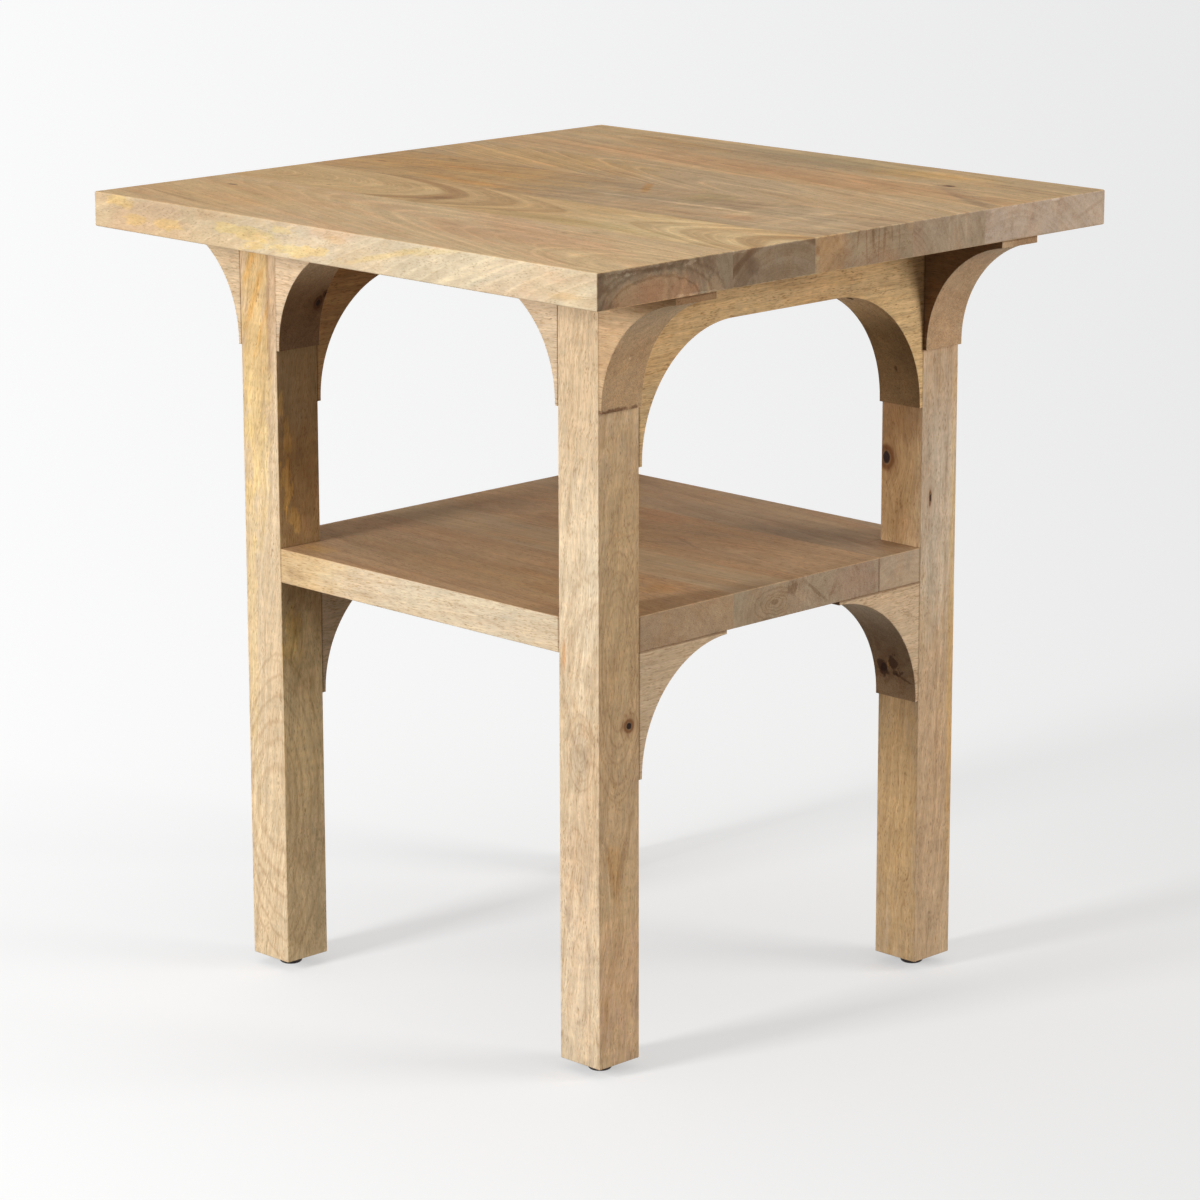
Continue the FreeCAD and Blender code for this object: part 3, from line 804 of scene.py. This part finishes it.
SHELF_BOARD_2 = dict(
    faces={"+z": (1.06, 1.08, 1.06), "+x": (1.13, 1.16, 1.18)},
    middle=(0, -10, 362), tilt=(0.04, 0.0), body=tone(198, 166, 128), seed=12.0,
    rings=0.45, ring_size=4.5, lines=0.3, streaks=0.4, end_tint=tint(0.70, 0.74, 0.81),
    arcs=tuple(arc(UMBER, (LEG_FAR, -10, 367), (60, reach, 0.5 * reach), 1.4, 0.45, "+x")
               for reach in (8, 13, 19, 26)),
    patches=upper(
        (RUDDY, 130, 12, 90, 9, 0.6, 0.6, 0.6, 4),
        (PALER, 105, -12, 46, 11, 0.7, 0.6, 0.6),
        (GREYED, 105, -12, 46, 11, 0.4, 0.6, 0.6),
        (UMBER, -82, 1, 26, 1.2, 0.6, 0.3),
    ) + end(
        (UMBER, -12, 368, 3.5, 2, 0.7, 0.8, 0.4),
        (BROWNED, -36, 364, 10, 7, 0.4, 0.9)))

SHELF_BOARD_3 = dict(
    faces={"+z": (1.10, 1.14, 1.11), "+x": (1.01, 1.13, 1.20)},
    middle=(-20, 45, 340), tilt=(0.05, 0.10), body=tone(194, 156, 118), seed=13.0,
    rings=0.50, ring_size=5.0, lines=0.25, streaks=0.5, flecks=0.7,
    end_tint=tint(0.82, 0.88, 1.02),
    patches=upper(
        (RUDDY, -30, 108, 36, 22, 0.7, 0.7, 0.6),
        (UMBER, 45, 32, 16, 2.2, 0.45, 0.5, 0.6, 28),
        (UMBER, 60, 46, 24, 2.2, 0.45, 0.5, 0.6, -22),
    ) + end(
        (UMBER, 10, 377, 6, 5, 0.8, 1.0, 0.4),
        (PALER, 20, 368, 20, 2.4, 0.6, 0.5, 0.5, -40),
        (UMBER, 38, 370, 16, 1.6, 0.6, 0.5, 0.5, -38),
        (PINKISH, 90, 368, 28, 20, 0.9),
        (BROWNED, 60, 366, 2, 12, 0.5, 0.8, 0.5, -30),
        (UMBER, 119, 368, 1.4, 30, 0.7, 0.2, 0.4)))

SHELF_BOARD_4 = dict(
    faces={"+z": (1.07, 1.15, 1.10), "+x": (1.19, 1.30, 1.31)},
    middle=(0, 170, 300), tilt=(-0.08, 0.03), body=tone(184, 148, 116), seed=14.0,
    rings=0.4, lines=0.2, streaks=0.5, end_tint=tint(0.84, 0.90, 1.00),
    patches=upper(
        (GREYED, 130, 150, 70, 26, 0.7, 0.6, 0.6),
    ) + end(
        (PALER, 165, 368, 40, 30, 0.7, 0.4)))


# The wood of the legs

front = on_face("-y", -LEG_FAR)
side = on_face("+x", -LEG_NEAR)

LEG_FRONT_LEFT = dict(
    middle=(-250, -190, 300), tilt=(0.10, 0.06), body=tone(228, 203, 165), seed=21.0,
    faces={"-y": (1.02, 1.01, 1.02), "+x": (1.00, 0.95, 0.84)},
    arcs=tuple(arc(BROWNED, (-LEG_NEAR, -242, 150), (60, reach, 2.1 * reach), 2.6, 0.55)
               for reach in (30, 38, 45, 54, 62, 71)),
    patches=front(
        (SUNNY, -200, 560, 16, 150, 0.95, 0.6, 0.4),
        (BROWNED, -195, 600, 26, 100, 0.55, 0.6, 0.6),
        (PALER, -195, 90, 40, 100, 0.6, 0.5, 0.6),
        (AMBER, -206, 628, 3.5, 34, 0.65, 0.9, 0.5, 24),
        (AMBER, -198, 604, 3.0, 34, 0.65, 0.9, 0.5, 24),
        (AMBER, -190, 575, 2.6, 26, 0.6, 0.9, 0.5, 22),
        (BROWNED, -182, 600, 2.2, 70, 0.75, 0.9),
        (PINKISH, -176, 600, 6, 70, 0.3),
        (SUNNY, -210, 330, 6, 160, 0.5, 0.9, 0.6),
    ) + side(
        # Darker upper part of the face to the right: painted shade under the top and the brackets, over
        # darker grey-brown wood.
        (UMBER, -193, 490, 40, 190, 0.95, 0.4, 0.4),
        (BROWNED, -193, 560, 40, 130, 1.0, 0.4, 0.4),
        (OLIVE, -190, 500, 40, 130, 0.9, 0.6, 0.4),
        (CREAMY, -193, 540, 40, 52, 1.0, 0.4),
        (PALER, -193, 552, 40, 30, 0.7, 0.5, 0.6),
        (BROWNED, -193, 440, 40, 32, 0.4, 0.5, 0.6),
        (GILT, -211, 440, 5, 16, 0.9, 1.8, 0.3),
        (GILT, -208, 478, 4, 11, 0.7, 1.8, 0.3),
        (GILT, -214, 512, 3, 9, 0.8, 1.6, 0.3),
        (GILT, -201, 410, 6, 8, 0.7, 1.8, 0.3),
        # Lighter below the shelf: painted light where the shelf shades the face, over paler wood.
        (PALER, -195, 250, 40, 90, 1.0, 0.4),
        (PALER, -195, 250, 40, 90, 0.9, 0.4),
        (SUNNY, -206, 306, 9, 24, 0.95, 1.2, 0.4),
        (PALER, -206, 306, 8, 20, 0.5, 1.2, 0.4),
        (GREYED, -184, 60, 8, 60, 0.4, 0.8)))

side = on_face("+x", LEG_FAR)
LEG_FRONT_RIGHT = dict(
    middle=(150, -250, 300), tilt=(0.08, 0.07), body=tone(228, 203, 168), seed=22.0,
    faces={"-y": (1.0, 0.98, 0.95), "+x": (0.82, 0.76, 0.74)},
    knots=(((LEG_FAR, -184, 295), (6, 5.2, 5.2)),),
    arcs=tuple(arc(BROWNED, (LEG_FAR, -196, 345), (60, reach * 0.28, reach), 2.4, 0.5)
               for reach in (52, 66, 80, 96, 112))
         + tuple(arc(BROWNED, (197, -LEG_FAR, 275), (reach, 60, 2 * reach), 1.6, 0.45)
                 for reach in (4, 8, 12, 16))
         + tuple(arc(BROWNED, (192 + shift, -LEG_FAR, 52), (reach * 0.16, 60, reach), 2.2, 0.35)
                 for shift, reach in ((0, 60), (2, 84), (-2, 108), (3, 132), (0, 158))),
    patches=front(
        (PALER, 195, 415, 40, 90, 0.7, 0.4),
        (CREAMY, 195, 415, 40, 90, 0.35, 0.4),
        (PALER, 195, 80, 40, 80, 0.95),
        (CREAMY, 195, 80, 40, 80, 0.35),
        (RUDDY, 178, 353, 2.2, 13, 0.9, 0.6),
        (AMBER, 178, 353, 1.6, 11, 0.5, 0.6),
        (GREYED, 197, 275, 9, 18, 0.5, 0.8),
        (PINKISH, 195, 130, 22, 110, 0.4, 0.6, 0.6),
        (BROWNED, 188, 165, 3, 46, 0.30, 1.2, 0.5, 12),
        (BROWNED, 204, 120, 3, 40, 0.30, 1.2, 0.5, -14),
    ) + side(
        (PALER, -195, 590, 40, 60, 0.9, 0.3),
        (GOLDEN, -195, 300, 40, 330, 0.5),
        (OLIVE, -195, 405, 40, 110, 0.3),
        (AMBER, -200, 175, 8, 24, 0.45, 1.2, 0.5, 18),
        (BROWNED, -192, 182, 3, 30, 0.6, 1.2, 0.4, -16),
        (BROWNED, -203, 168, 3, 26, 0.5, 1.2, 0.4, 10),
        (PALER, -195, 85, 40, 90, 0.9, 0.4),
        (PINKISH, -195, 75, 30, 58, 0.8, 0.6),
        (GREYED, -176, 80, 3, 24, 0.6, 0.9, 0.4),
        (CHALKY, -206, 150, 0.6, 42, 0.25, 1.0, 0.5, 4),
        (CHALKY, -190, 120, 0.5, 30, 0.2, 1.0, 0.5, -6)))

LEG_BACK_LEFT = dict(
    middle=(-170, 240, 300), tilt=(0.05, -0.03), body=tone(218, 190, 152), seed=23.0)

front = on_face("-y", LEG_NEAR)
LEG_BACK_RIGHT = dict(
    middle=(150, 150, 300), tilt=(0.05, 0.05), body=tone(216, 187, 151), seed=24.0,
    faces={"-y": (0.93, 0.90, 0.84), "+x": (0.95, 0.94, 0.91)},
    knots=(((178, LEG_NEAR, 458), (7.5, 9, 10)), ((LEG_FAR, 184, 426), (5, 1.6, 6.5))),
    arcs=tuple(arc(BROWNED, (170, LEG_NEAR, 400), (reach * 0.4, 60, reach), 2.6, 0.4)
               for reach in (40, 54, 68)),
    patches=front(
        (OLIVE, 190, 450, 24, 76, 0.8),
        (BROWNED, 190, 450, 24, 90, 0.95),
        (GOLDEN, 195, 160, 26, 130, 0.6, 0.6),
    ) + side(
        (BROWNED, 180, 425, 7, 60, 0.35, 0.8, 0.4),
        (GOLDEN, 214, 300, 3.5, 200, 0.9),
        (GREYED, 188, 330, 8, 110, 0.35, 0.8),
        (BROWNED, 205, 360, 1.6, 150, 0.4, 1.0, 0.4),
        (BROWNED, 196, 250, 1.4, 120, 0.4, 1.0, 0.4, 1),
        (PALER, 200, 300, 2.5, 140, 0.5, 1.0, 0.4),
    ) + front(
        (BROWNED, 190, 500, 30, 200, 0.35, 0.3),
        (UMBER, 190, 500, 40, 24, 0.65, 0.4),
        (BROWNED, 190, 200, 30, 200, 0.15, 0.3),
    ) + side(
        (CREAMY, 195, 430, 40, 110, 0.95),
        (PINKISH, 195, 500, 40, 170, 0.5),
        (BROWNED, 190, 570, 30, 90, 0.35),
        (PINKISH, 195, 160, 30, 150, 0.5, 0.6)))

LEG_FIGURE = dict(
    sway=28.0, ripple=8.0, ring_size=9.0, rings=0.45, lines=0.2, streaks=0.3,
    second_amount=0.25, third_amount=0.25, curls=0.3, clouds=0.45, pores=0.6,
    flecks=0.6, fibres=1.0)


def dress_top():
    """Five boards glued edge to edge."""
    boards = (TOP_BOARD_1, TOP_BOARD_2, TOP_BOARD_3, TOP_BOARD_4, TOP_BOARD_5)
    for number, board in enumerate(boards, 1):
        dress(f"top_board_{number}", wood_material(f"Top board {number}", along="x", **board))


def dress_shelf():
    """Four boards glued edge to edge. The first and the last are notched round the legs."""
    boards = (SHELF_BOARD_1, SHELF_BOARD_2, SHELF_BOARD_3, SHELF_BOARD_4)
    notch = LEG_NEAR - 0.7
    # Painted shade along the notches where the shelf board meets the legs, over the joint lines.
    for board, side_y in ((SHELF_BOARD_1, -1), (SHELF_BOARD_4, 1)):
        for side_x in (-1, 1):
            board["patches"] += (
                shaded_seam((side_x * notch, side_y * LEG_MIDDLE, SHELF_FACE), (1.0, 32, 60)),
                shaded_seam((side_x * LEG_MIDDLE, side_y * notch, SHELF_FACE), (32, 1.0, 60)))
    for number, board in enumerate(boards, 1):
        dress(f"shelf_board_{number}", wood_material(f"Shelf board {number}", along="x", **board))


def dress_legs():
    legs = (LEG_FRONT_LEFT, LEG_FRONT_RIGHT, LEG_BACK_LEFT, LEG_BACK_RIGHT)
    for (corner, (side_x, side_y)), leg in zip(CORNERS.items(), legs):
        # Painted shade where the leg meets the underside of the top, over the joint line.
        top_joint_shade = shaded_seam((side_x * LEG_MIDDLE, side_y * LEG_MIDDLE, TOP_UNDERSIDE + 0.1), (60, 60, 1.2))
        leg["patches"] = leg.get("patches", ()) + (top_joint_shade,)
        dress(f"leg_{corner}", wood_material(f"Leg {corner}", along="z", **leg, **LEG_FIGURE))


def dress_rails():
    """The arches are cut from boards whose grain runs front to back."""
    speck = patch(INKY, (194, 164, 539), (1.6, 8, 2.6), 0.8, 0.3, 0.4)
    # Painted shade: both rails' faces that look to the front are darkened, and the left rail's face to the
    # right, inside the bay, is darkened both as painted shade and as darker wood.
    for side, side_x, seed, facing_right, marks in (
            ("left", -1, 31.0, (0.62, 0.54, 0.46), ()),
            ("right", 1, 32.0, (1.0, 0.97, 0.93), (speck,))):
        # Painted shade under the top and where the rail meets each leg, over the joint lines.
        joint_shades = (shaded_seam((side_x * LEG_MIDDLE, 0, TOP_UNDERSIDE), (60, 260, 1.2)),
                  shaded_seam((side_x * LEG_MIDDLE, 0.6 - LEG_NEAR, 600), (60, 0.8, 120), 0.4),
                  shaded_seam((side_x * LEG_MIDDLE, LEG_NEAR - 0.6, 600), (60, 0.8, 120), 0.4))
        dress(f"arched_rail_{side}", wood_material(
            f"Arched rail {side}", along="y", middle=(side_x * 150, 0, 700), body=tone(224, 190, 140),
            faces={"-y": (0.42, 0.38, 0.33), "+x": facing_right}, seed=seed, arris="x",
            rings=0.35, lines=0.2, curls=0.2, ripple=4.0, pores=0.8,
            flecks=0.8, fibres=1.2, clouds=0.5, end_tint=tint(0.60, 0.57, 0.57),
            patches=joint_shades + marks))


# What sets single brackets apart

BRACKETS = {
    "bracket_inner_front_left": dict(
        # The very dark end tint is painted shade on the curved underside, over darker wood.
        end_tint=tint(0.32, 0.25, 0.19),
        knots=(((-161, -179, 595), (6, 4, 6)), ((-158, -173, 603), (3, 3, 3))),
        patches=(
            patch(PALER, (-155, -195, 615), (40, 40, 26), 0.9, 0.6, 0.6),
            patch(BROWNED, (-163, -182, 592), (14, 12, 16), 0.4, 1.0))),
    "shelf_bracket_back_right": dict(
        end_tint=tint(0.50, 0.43, 0.37),
        patches=(
            patch(BROWNED, (192, 165, 275), (20, 40, 18), 0.9, 1.2),
            patch(INKY, (183, 165, 273), (6, 40, 7), 1.0, 0.9, 0.25),
            patch(INKY, (183, 165, 273), (4, 40, 5), 0.9, 0.9, 0.25),
            patch(INKY, (196, 165, 280), (5, 40, 6), 1.0, 1.0, 0.25, 30, "-y"),
            patch(INKY, (197, 165, 270), (7, 40, 3), 0.9, 1.0, 0.25, -30, "-y"),
            patch(UMBER, (205, 165, 266), (10, 40, 1.5), 0.9, 0.8, 0.3, 20, "-y"),
            patch(GILT, (189, 165, 276), (1.0, 40, 5), 1.0, 0.5, 0.3, 12, "-y"))),
    "bracket_inner_front_right": dict(faces={"-y": (1.06, 1.08, 1.08)}),
    "bracket_outer_front_right": dict(
        faces={"-y": (0.90, 0.84, 0.76)}, end_tint=tint(0.85, 0.77, 0.68),
        patches=(
            # Painted shade under the top on the bracket's tip.
            patch(UMBER, (303, -195, 657), (4, 60, 9), 1.0, 0.2, 0.3, 0, "+x"),
            patch(CHALKY, (303, -176, 652), (4, 3, 0.8), 0.5, 0.6, 0.3, 0, "+x"),
            # Painted shade in the gap where the bracket's foot meets the leg, with dark glue.
            patch(INKY, (218, -212, 558), (6, 14, 3.0), 0.9, 1.2, 0.3),
            patch(INKY, (218, -190, 558), (5, 16, 1.8), 0.8, 1.2, 0.3),
            # Painted shadow of the top's overhang on the face to the front.
            patch(UMBER, (274, -218, 656), (46, 20, 12), 0.9, 0.3, 0.5, 0, "-y"),
            patch(CHALKY, (230, -195, 600), (2.5, 1.4, 1.4), 0.6, 0.3, 0.4),
            patch(RUDDY, (240, -195, 600), (50, 40, 50), 0.3, 0.6))),
    "bracket_outer_back_right": dict(
        # Painted shade: the face to the front is darkened where the top and the leg keep the light off it,
        # and the browned marks under the top are painted shade too.
        faces={"-y": (0.36, 0.31, 0.27)}, end_tint=tint(0.76, 0.71, 0.66),
        patches=(
            patch(RUDDY, (225, 195, 600), (60, 40, 60), 0.5, 0.6),
            patch(BROWNED, (280, 195, 645), (50, 40, 24), 0.6, 0.6, 0.6),
            patch(BROWNED, (303, 206, 657), (4, 18, 9), 0.9, 0.3, 0.3, 0, "+x"))),
}

BRACKET_FIGURE = dict(
    sway=14.0, ripple=5.0, ring_size=7.0, rings=0.35, lines=0.15, streaks=0.3,
    second_amount=0.3, third_amount=0.3, pores=0.6, flecks=0.7, fibres=1.0,
    clouds=0.45)


def dress_brackets():
    for number, (corner, (side_x, side_y)) in enumerate(CORNERS.items()):
        x = side_x * LEG_MIDDLE
        y = side_y * LEG_MIDDLE
        # Painted shade under the top, along each bracket's joint with the leg and under the shelf, over the
        # joint lines.
        under_top_shade = shaded_seam((x, y, TOP_UNDERSIDE), (200, 60, 1.0))
        brackets = {
            f"bracket_outer_{corner}": dict(
                along="x", middle=(side_x * 260, side_y * 240, 720), body=tone(220, 193, 156),
                arris="y", end_tint=tint(0.86, 0.79, 0.73), seed=41.0 + number,
                patches=(under_top_shade, shaded_seam((side_x * (LEG_FAR + 0.4), y, 610), (0.8, 60, 150), 0.35))),
            f"bracket_inner_{corner}": dict(
                along="x", middle=(side_x * 120, side_y * 240, 720), body=tone(216, 189, 156),
                arris="y", end_tint=tint(0.62, 0.58, 0.58), seed=51.0 + number,
                patches=(under_top_shade, shaded_seam((side_x * (LEG_NEAR - 0.4), y, 610), (0.8, 60, 150), 0.35))),
            f"shelf_bracket_{corner}": dict(
                along="y", middle=(side_x * 240, side_y * 120, 420), body=tone(214, 185, 150),
                arris="x", end_tint=tint(0.68, 0.65, 0.66), seed=61.0 + number,
                patches=(shaded_seam((x, side_y * 120, SHELF_UNDERSIDE), (60, 120, 1.0)),
                         shaded_seam((x, side_y * (LEG_NEAR - 0.4), 300), (60, 0.8, 150), 0.45))),
        }
        for node, wood in brackets.items():
            own = BRACKETS.get(node, {})
            wood = {**wood, **BRACKET_FIGURE, **own, "patches": own.get("patches", ()) + wood["patches"]}
            dress(node, wood_material(node.replace("_", " ").capitalize(), **wood))


def dress_dowels():
    """Turned from paler, plainer wood."""
    beech = wood_material("Dowel", along="z", middle=(400, 0, 0), body=tone(226, 196, 156), seed=71.0,
                          rings=0.15, lines=0.1, streaks=0.1, pores=0.1)
    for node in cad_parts:
        if node.endswith("_dowels"):
            dress(node, beech)


def steel_material():
    """Bright zinc plating, faintly mottled."""
    material, g, place = new_material("Zinc plated steel")
    bloom = g.noise(place, (1.6, 1.6, 1.6), 3, 0.6)
    turning = g.noise(place, (6, 6, 0.25), 2, 0.6)
    cover(g, turning, 0.3, 0.00004, {
        "Base Color": g.mix(bloom, tone(168, 168, 162), tone(206, 206, 200)),
        "Metallic": 1.0, "Roughness": g.math("MULTIPLY_ADD", bloom, 0.25, 0.25)})
    return material


def pad_material():
    """Moulded dark plastic with a faint ruddy cast and fine scuffs."""
    material, g, place = new_material("Pad plastic")
    scuff = g.noise(place, (2.5, 2.5, 2.5), 4, 0.65)
    cover(g, scuff, 0.3, 0.00005, {
        "Base Color": g.mix(scuff, tone(18, 11, 9), tone(40, 25, 20)),
        "Roughness": g.math("MULTIPLY_ADD", scuff, 0.3, 0.30), "Specular IOR Level": 0.35})
    return material


def spin(mesh, axis_x, axis_y, sides, outline):
    """Adds a closed turned solid. The outline gives (radius, height) along it at each share of a turn."""
    columns = []
    for side in range(sides):
        angle = math.tau * side / sides
        x, y = math.cos(angle), math.sin(angle)
        columns.append([mesh.verts.new((axis_x + radius * x, axis_y + radius * y, height))
                        for radius, height in outline(side / sides)])
    for column, after in zip(columns, columns[1:] + columns[:1]):
        for low in range(len(column) - 1):
            mesh.faces.new((column[low], after[low], after[low + 1], column[low + 1]))
    mesh.faces.new([column[0] for column in reversed(columns)])
    mesh.faces.new([column[-1] for column in columns])


def thread_cut(height, turn, pitch, depth):
    """How deep a screw's thread is cut at a height and a share of a turn."""
    phase = (height / pitch - turn) % 1.0
    return depth * min(1.0, THREAD_FLANK * abs(phase - 0.5))


def steel_piece(name, mesh, material, node, body):
    """Makes a turned mesh the piece that stands for a CAD node."""
    bmesh.ops.recalc_face_normals(mesh, faces=mesh.faces)
    data = bpy.data.meshes.new(name)
    mesh.to_mesh(data)
    mesh.free()
    data.shade_smooth()
    data.set_sharp_from_angle(angle=math.radians(SHARP_ANGLE))
    data.materials.append(material)
    piece = bpy.data.objects.new(name, data)
    bpy.context.scene.collection.objects.link(piece)
    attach(piece, body)
    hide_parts(node)


def threaded_stem(corner, material):
    """The foot's stem with its fine thread, chamfered at both ends."""
    low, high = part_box(f"leveller_stem_{corner}")
    radius = (high[0] - low[0]) / 2
    length = high[2] - low[2]
    rows = round(length / STEM_PITCH * THREAD_ROWS)

    def outline(turn):
        points = []
        for row in range(rows + 1):
            height = length * row / rows
            near_end = min(height, length - height)
            chamfer = STEM_CUT * (1 - near_end / STEM_PITCH)
            cut = max(thread_cut(height, turn, STEM_PITCH, STEM_CUT), chamfer)
            points.append((radius - cut, low[2] + height))
        return points

    mesh = bmesh.new()
    spin(mesh, (low[0] + high[0]) / 2, (low[1] + high[1]) / 2, THREAD_SIDES, outline)
    steel_piece(f"threaded_stem_{corner}", mesh, material, f"leveller_stem_{corner}", f"leveller_{corner}")


def recess(across, along):
    """How deep the cross-shaped driver recess goes at a place on a screw's head, 0 to 1."""
    narrow, wide = sorted((abs(across), abs(along)))
    side = max(0.0, min(1.0, (RECESS_HALF - narrow) / RECESS_WALL))
    end = max(0.0, min(1.0, (RECESS_REACH - wide) / RECESS_SLOPE))
    return side * end


def wood_screws(material):
    """Four pan-headed wood screws, heads down, with a cross recess and a coarse thread."""
    low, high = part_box("top_screws")
    seat = low[2] + SCREW_HEAD
    length = high[2] - seat
    rows = round((length - SCREW_PLAIN) / SCREW_PITCH * THREAD_ROWS)
    rim = SCREW_HEAD_RADIUS

    def outline(turn):
        angle = math.tau * turn
        points = []
        for step in range(HEAD_ROWS):
            radius = rim * (0.02 + 0.90 * step / (HEAD_ROWS - 1))
            hole = RECESS_DEEP * recess(radius * math.cos(angle), radius * math.sin(angle))
            points.append((radius, low[2] + HEAD_DOME * (radius / rim) ** 2 + hole))
        points += [(rim * 0.98, low[2] + 0.0010), (rim, low[2] + 0.0014), (rim, seat - 0.0003),
                   (rim * 0.94, seat), (SCREW_RADIUS, seat + 0.0001)]
        for row in range(rows + 1):
            height = SCREW_PLAIN + (length - SCREW_PLAIN) * row / rows
            width = min(SCREW_RADIUS, 0.0001 + (length - height) * SCREW_RADIUS / SCREW_POINT)
            begun = min(1.0, (height - SCREW_PLAIN) / SCREW_START)
            cut = thread_cut(height, turn, SCREW_PITCH, SCREW_CUT) * begun
            points.append((max(width - cut, width * 0.6), seat + height))
        return points

    mesh = bmesh.new()
    for axis_x in (low[0] + rim, high[0] - rim):
        for axis_y in (low[1] + rim, high[1] - rim):
            spin(mesh, axis_x, axis_y, HEAD_SIDES, outline)
    steel_piece("wood_screws", mesh, material, "top_screws", "table")


def dress_feet():
    steel = steel_material()
    plastic = pad_material()
    wood_screws(steel)
    for corner in CORNERS:
        dress(f"leveller_insert_{corner}", steel)
        threaded_stem(corner, steel)
        dress(f"leveller_pad_{corner}", plastic)


# Stage, light and camera

def stage_colour(g):
    """Pale, and a little darker the further it lies to the right of the photograph's line of sight."""
    # The darkening to the right is a painted falloff of the light across the floor.
    place = g.node("ShaderNodeNewGeometry").outputs["Position"]
    out = g.vector("SUBTRACT", place, CAMERA_PLACE)
    aside = g.vector("DOT_PRODUCT", out, CAMERA_RIGHT)
    ahead = g.vector("DOT_PRODUCT", out, tuple(-share for share in CAMERA_BACK))
    slant = g.math("DIVIDE", aside, g.math("MAXIMUM", g.math("ABSOLUTE", ahead), STAGE_NEAR))
    share = g.node("ShaderNodeMapRange", {
        "Value": slant, "From Min": -STAGE_SLANT, "From Max": STAGE_SLANT}).outputs["Result"]
    return g.mix(share, tone(*STAGE_LEFT), tone(*STAGE_RIGHT))


def shown_share(g):
    """1 where the stage is seen, by the camera or in a shiny or clear piece, and 0 where it only lights."""
    path = g.node("ShaderNodeLightPath").outputs
    shiny = g.math("MAXIMUM", path["Is Glossy Ray"], path["Is Transmission Ray"])
    return g.math("MAXIMUM", path["Is Camera Ray"], shiny)


def open_light(g):
    """How strongly the lamps and the sky light the floor where nothing stands in their way."""
    place = g.node("ShaderNodeNewGeometry").outputs["Position"]
    total = SKY_HIGH / 2
    for lamp in LAMPS.values():
        back = (Vector(lamp["place"]) - Vector(lamp["aim"])).normalized()
        out = g.vector("SUBTRACT", lamp["place"], place)
        span = g.vector("LENGTH", out)
        turned = g.math("MAXIMUM", g.vector("DOT_PRODUCT", out, tuple(back)), 0.0)
        strength = g.product(turned, lamp["power"] * lamp["place"][2] / LAMP_SPREAD)
        total = g.math("ADD", total, g.math("DIVIDE", strength, g.math("POWER", span, 4.0)))
    return total


def make_floor():
    mesh = bpy.data.meshes.new("Floor")
    corners = [(x * FLOOR_HALF, y * FLOOR_HALF, 0) for x, y in ((-1, -1), (1, -1), (1, 1), (-1, 1))]
    mesh.from_pydata(corners, [], [(0, 1, 2, 3)])
    floor = bpy.data.objects.new("Floor", mesh)
    bpy.context.scene.collection.objects.link(floor)
    material = bpy.data.materials.new("Pale floor")
    g = new_graph(material)
    plain = g.node("ShaderNodeBsdfDiffuse", {"Color": (FLOOR_ALBEDO, FLOOR_ALBEDO, FLOOR_ALBEDO, 1.0)})
    shade = g.node("ShaderNodeBsdfDiffuse", {"Color": (*(SHADE_SHARE * part for part in SHADE_COLOUR), 1.0)})
    lit = g.product(open_light(g), SHADE_SHARE)
    glow = g.node("ShaderNodeEmission", {
        "Color": g.vector("SUBTRACT", stage_colour(g), g.join(lit, lit, lit)), "Strength": 1.0})
    shown = g.node("ShaderNodeAddShader", {0: shade.outputs[0], 1: glow.outputs[0]})
    choice = g.node("ShaderNodeMixShader", {0: shown_share(g), 1: plain.outputs[0], 2: shown.outputs[0]})
    g.node("ShaderNodeOutputMaterial", {"Surface": choice.outputs[0]})
    mesh.materials.append(material)


def make_world():
    world = bpy.data.worlds.new("Studio")
    bpy.context.scene.world = world
    g = new_graph(world)
    height = g.split(g.node("ShaderNodeTexCoord").outputs["Generated"])["Z"]
    height = g.math("MAXIMUM", height, 0.0)
    sky = g.node("ShaderNodeBackground", {
        "Color": (*SKY_COLOUR, 1.0), "Strength": g.product(height, height, SKY_HIGH)})
    middle = tuple((left + right) / 2 for left, right in zip(STAGE_LEFT, STAGE_RIGHT))
    backdrop = g.node("ShaderNodeBackground", {"Color": tone(*middle), "Strength": 1.0})
    choice = g.node("ShaderNodeMixShader", {0: shown_share(g), 1: sky.outputs[0], 2: backdrop.outputs[0]})
    g.node("ShaderNodeOutputWorld", {"Surface": choice.outputs[0]})


def make_lamp(name, place, aim, width, height, power, colour):
    lamp = bpy.data.lights.new(name, "AREA")
    lamp.shape = "RECTANGLE"
    lamp.size = width
    lamp.size_y = height
    lamp.energy = power
    lamp.color = colour
    item = bpy.data.objects.new(name, lamp)
    bpy.context.scene.collection.objects.link(item)
    item.location = place
    item.rotation_euler = (Vector(aim) - Vector(place)).to_track_quat("-Z", "Y").to_euler()


def make_camera():
    camera = bpy.data.cameras.new("Camera")
    camera.lens = CAMERA_LENS
    camera.sensor_width = CAMERA_SENSOR
    camera.shift_y = CAMERA_SHIFT_Y
    camera.clip_end = CAMERA_CLIP
    item = bpy.data.objects.new("Camera", camera)
    bpy.context.scene.collection.objects.link(item)
    right = Vector(CAMERA_RIGHT).normalized()
    up = Vector(CAMERA_UP).normalized()
    back = right.cross(up)
    turn = Matrix((right, up, back)).transposed()
    item.matrix_world = Matrix.Translation(CAMERA_PLACE) @ turn.to_4x4()
    bpy.context.scene.camera = item


dress_top()
dress_shelf()
dress_legs()
dress_rails()
dress_brackets()
dress_dowels()
dress_feet()
make_floor()
make_world()
for title, lamp in LAMPS.items():
    make_lamp(title, **lamp)
make_camera()
bpy.context.scene.view_settings.view_transform = "Standard"
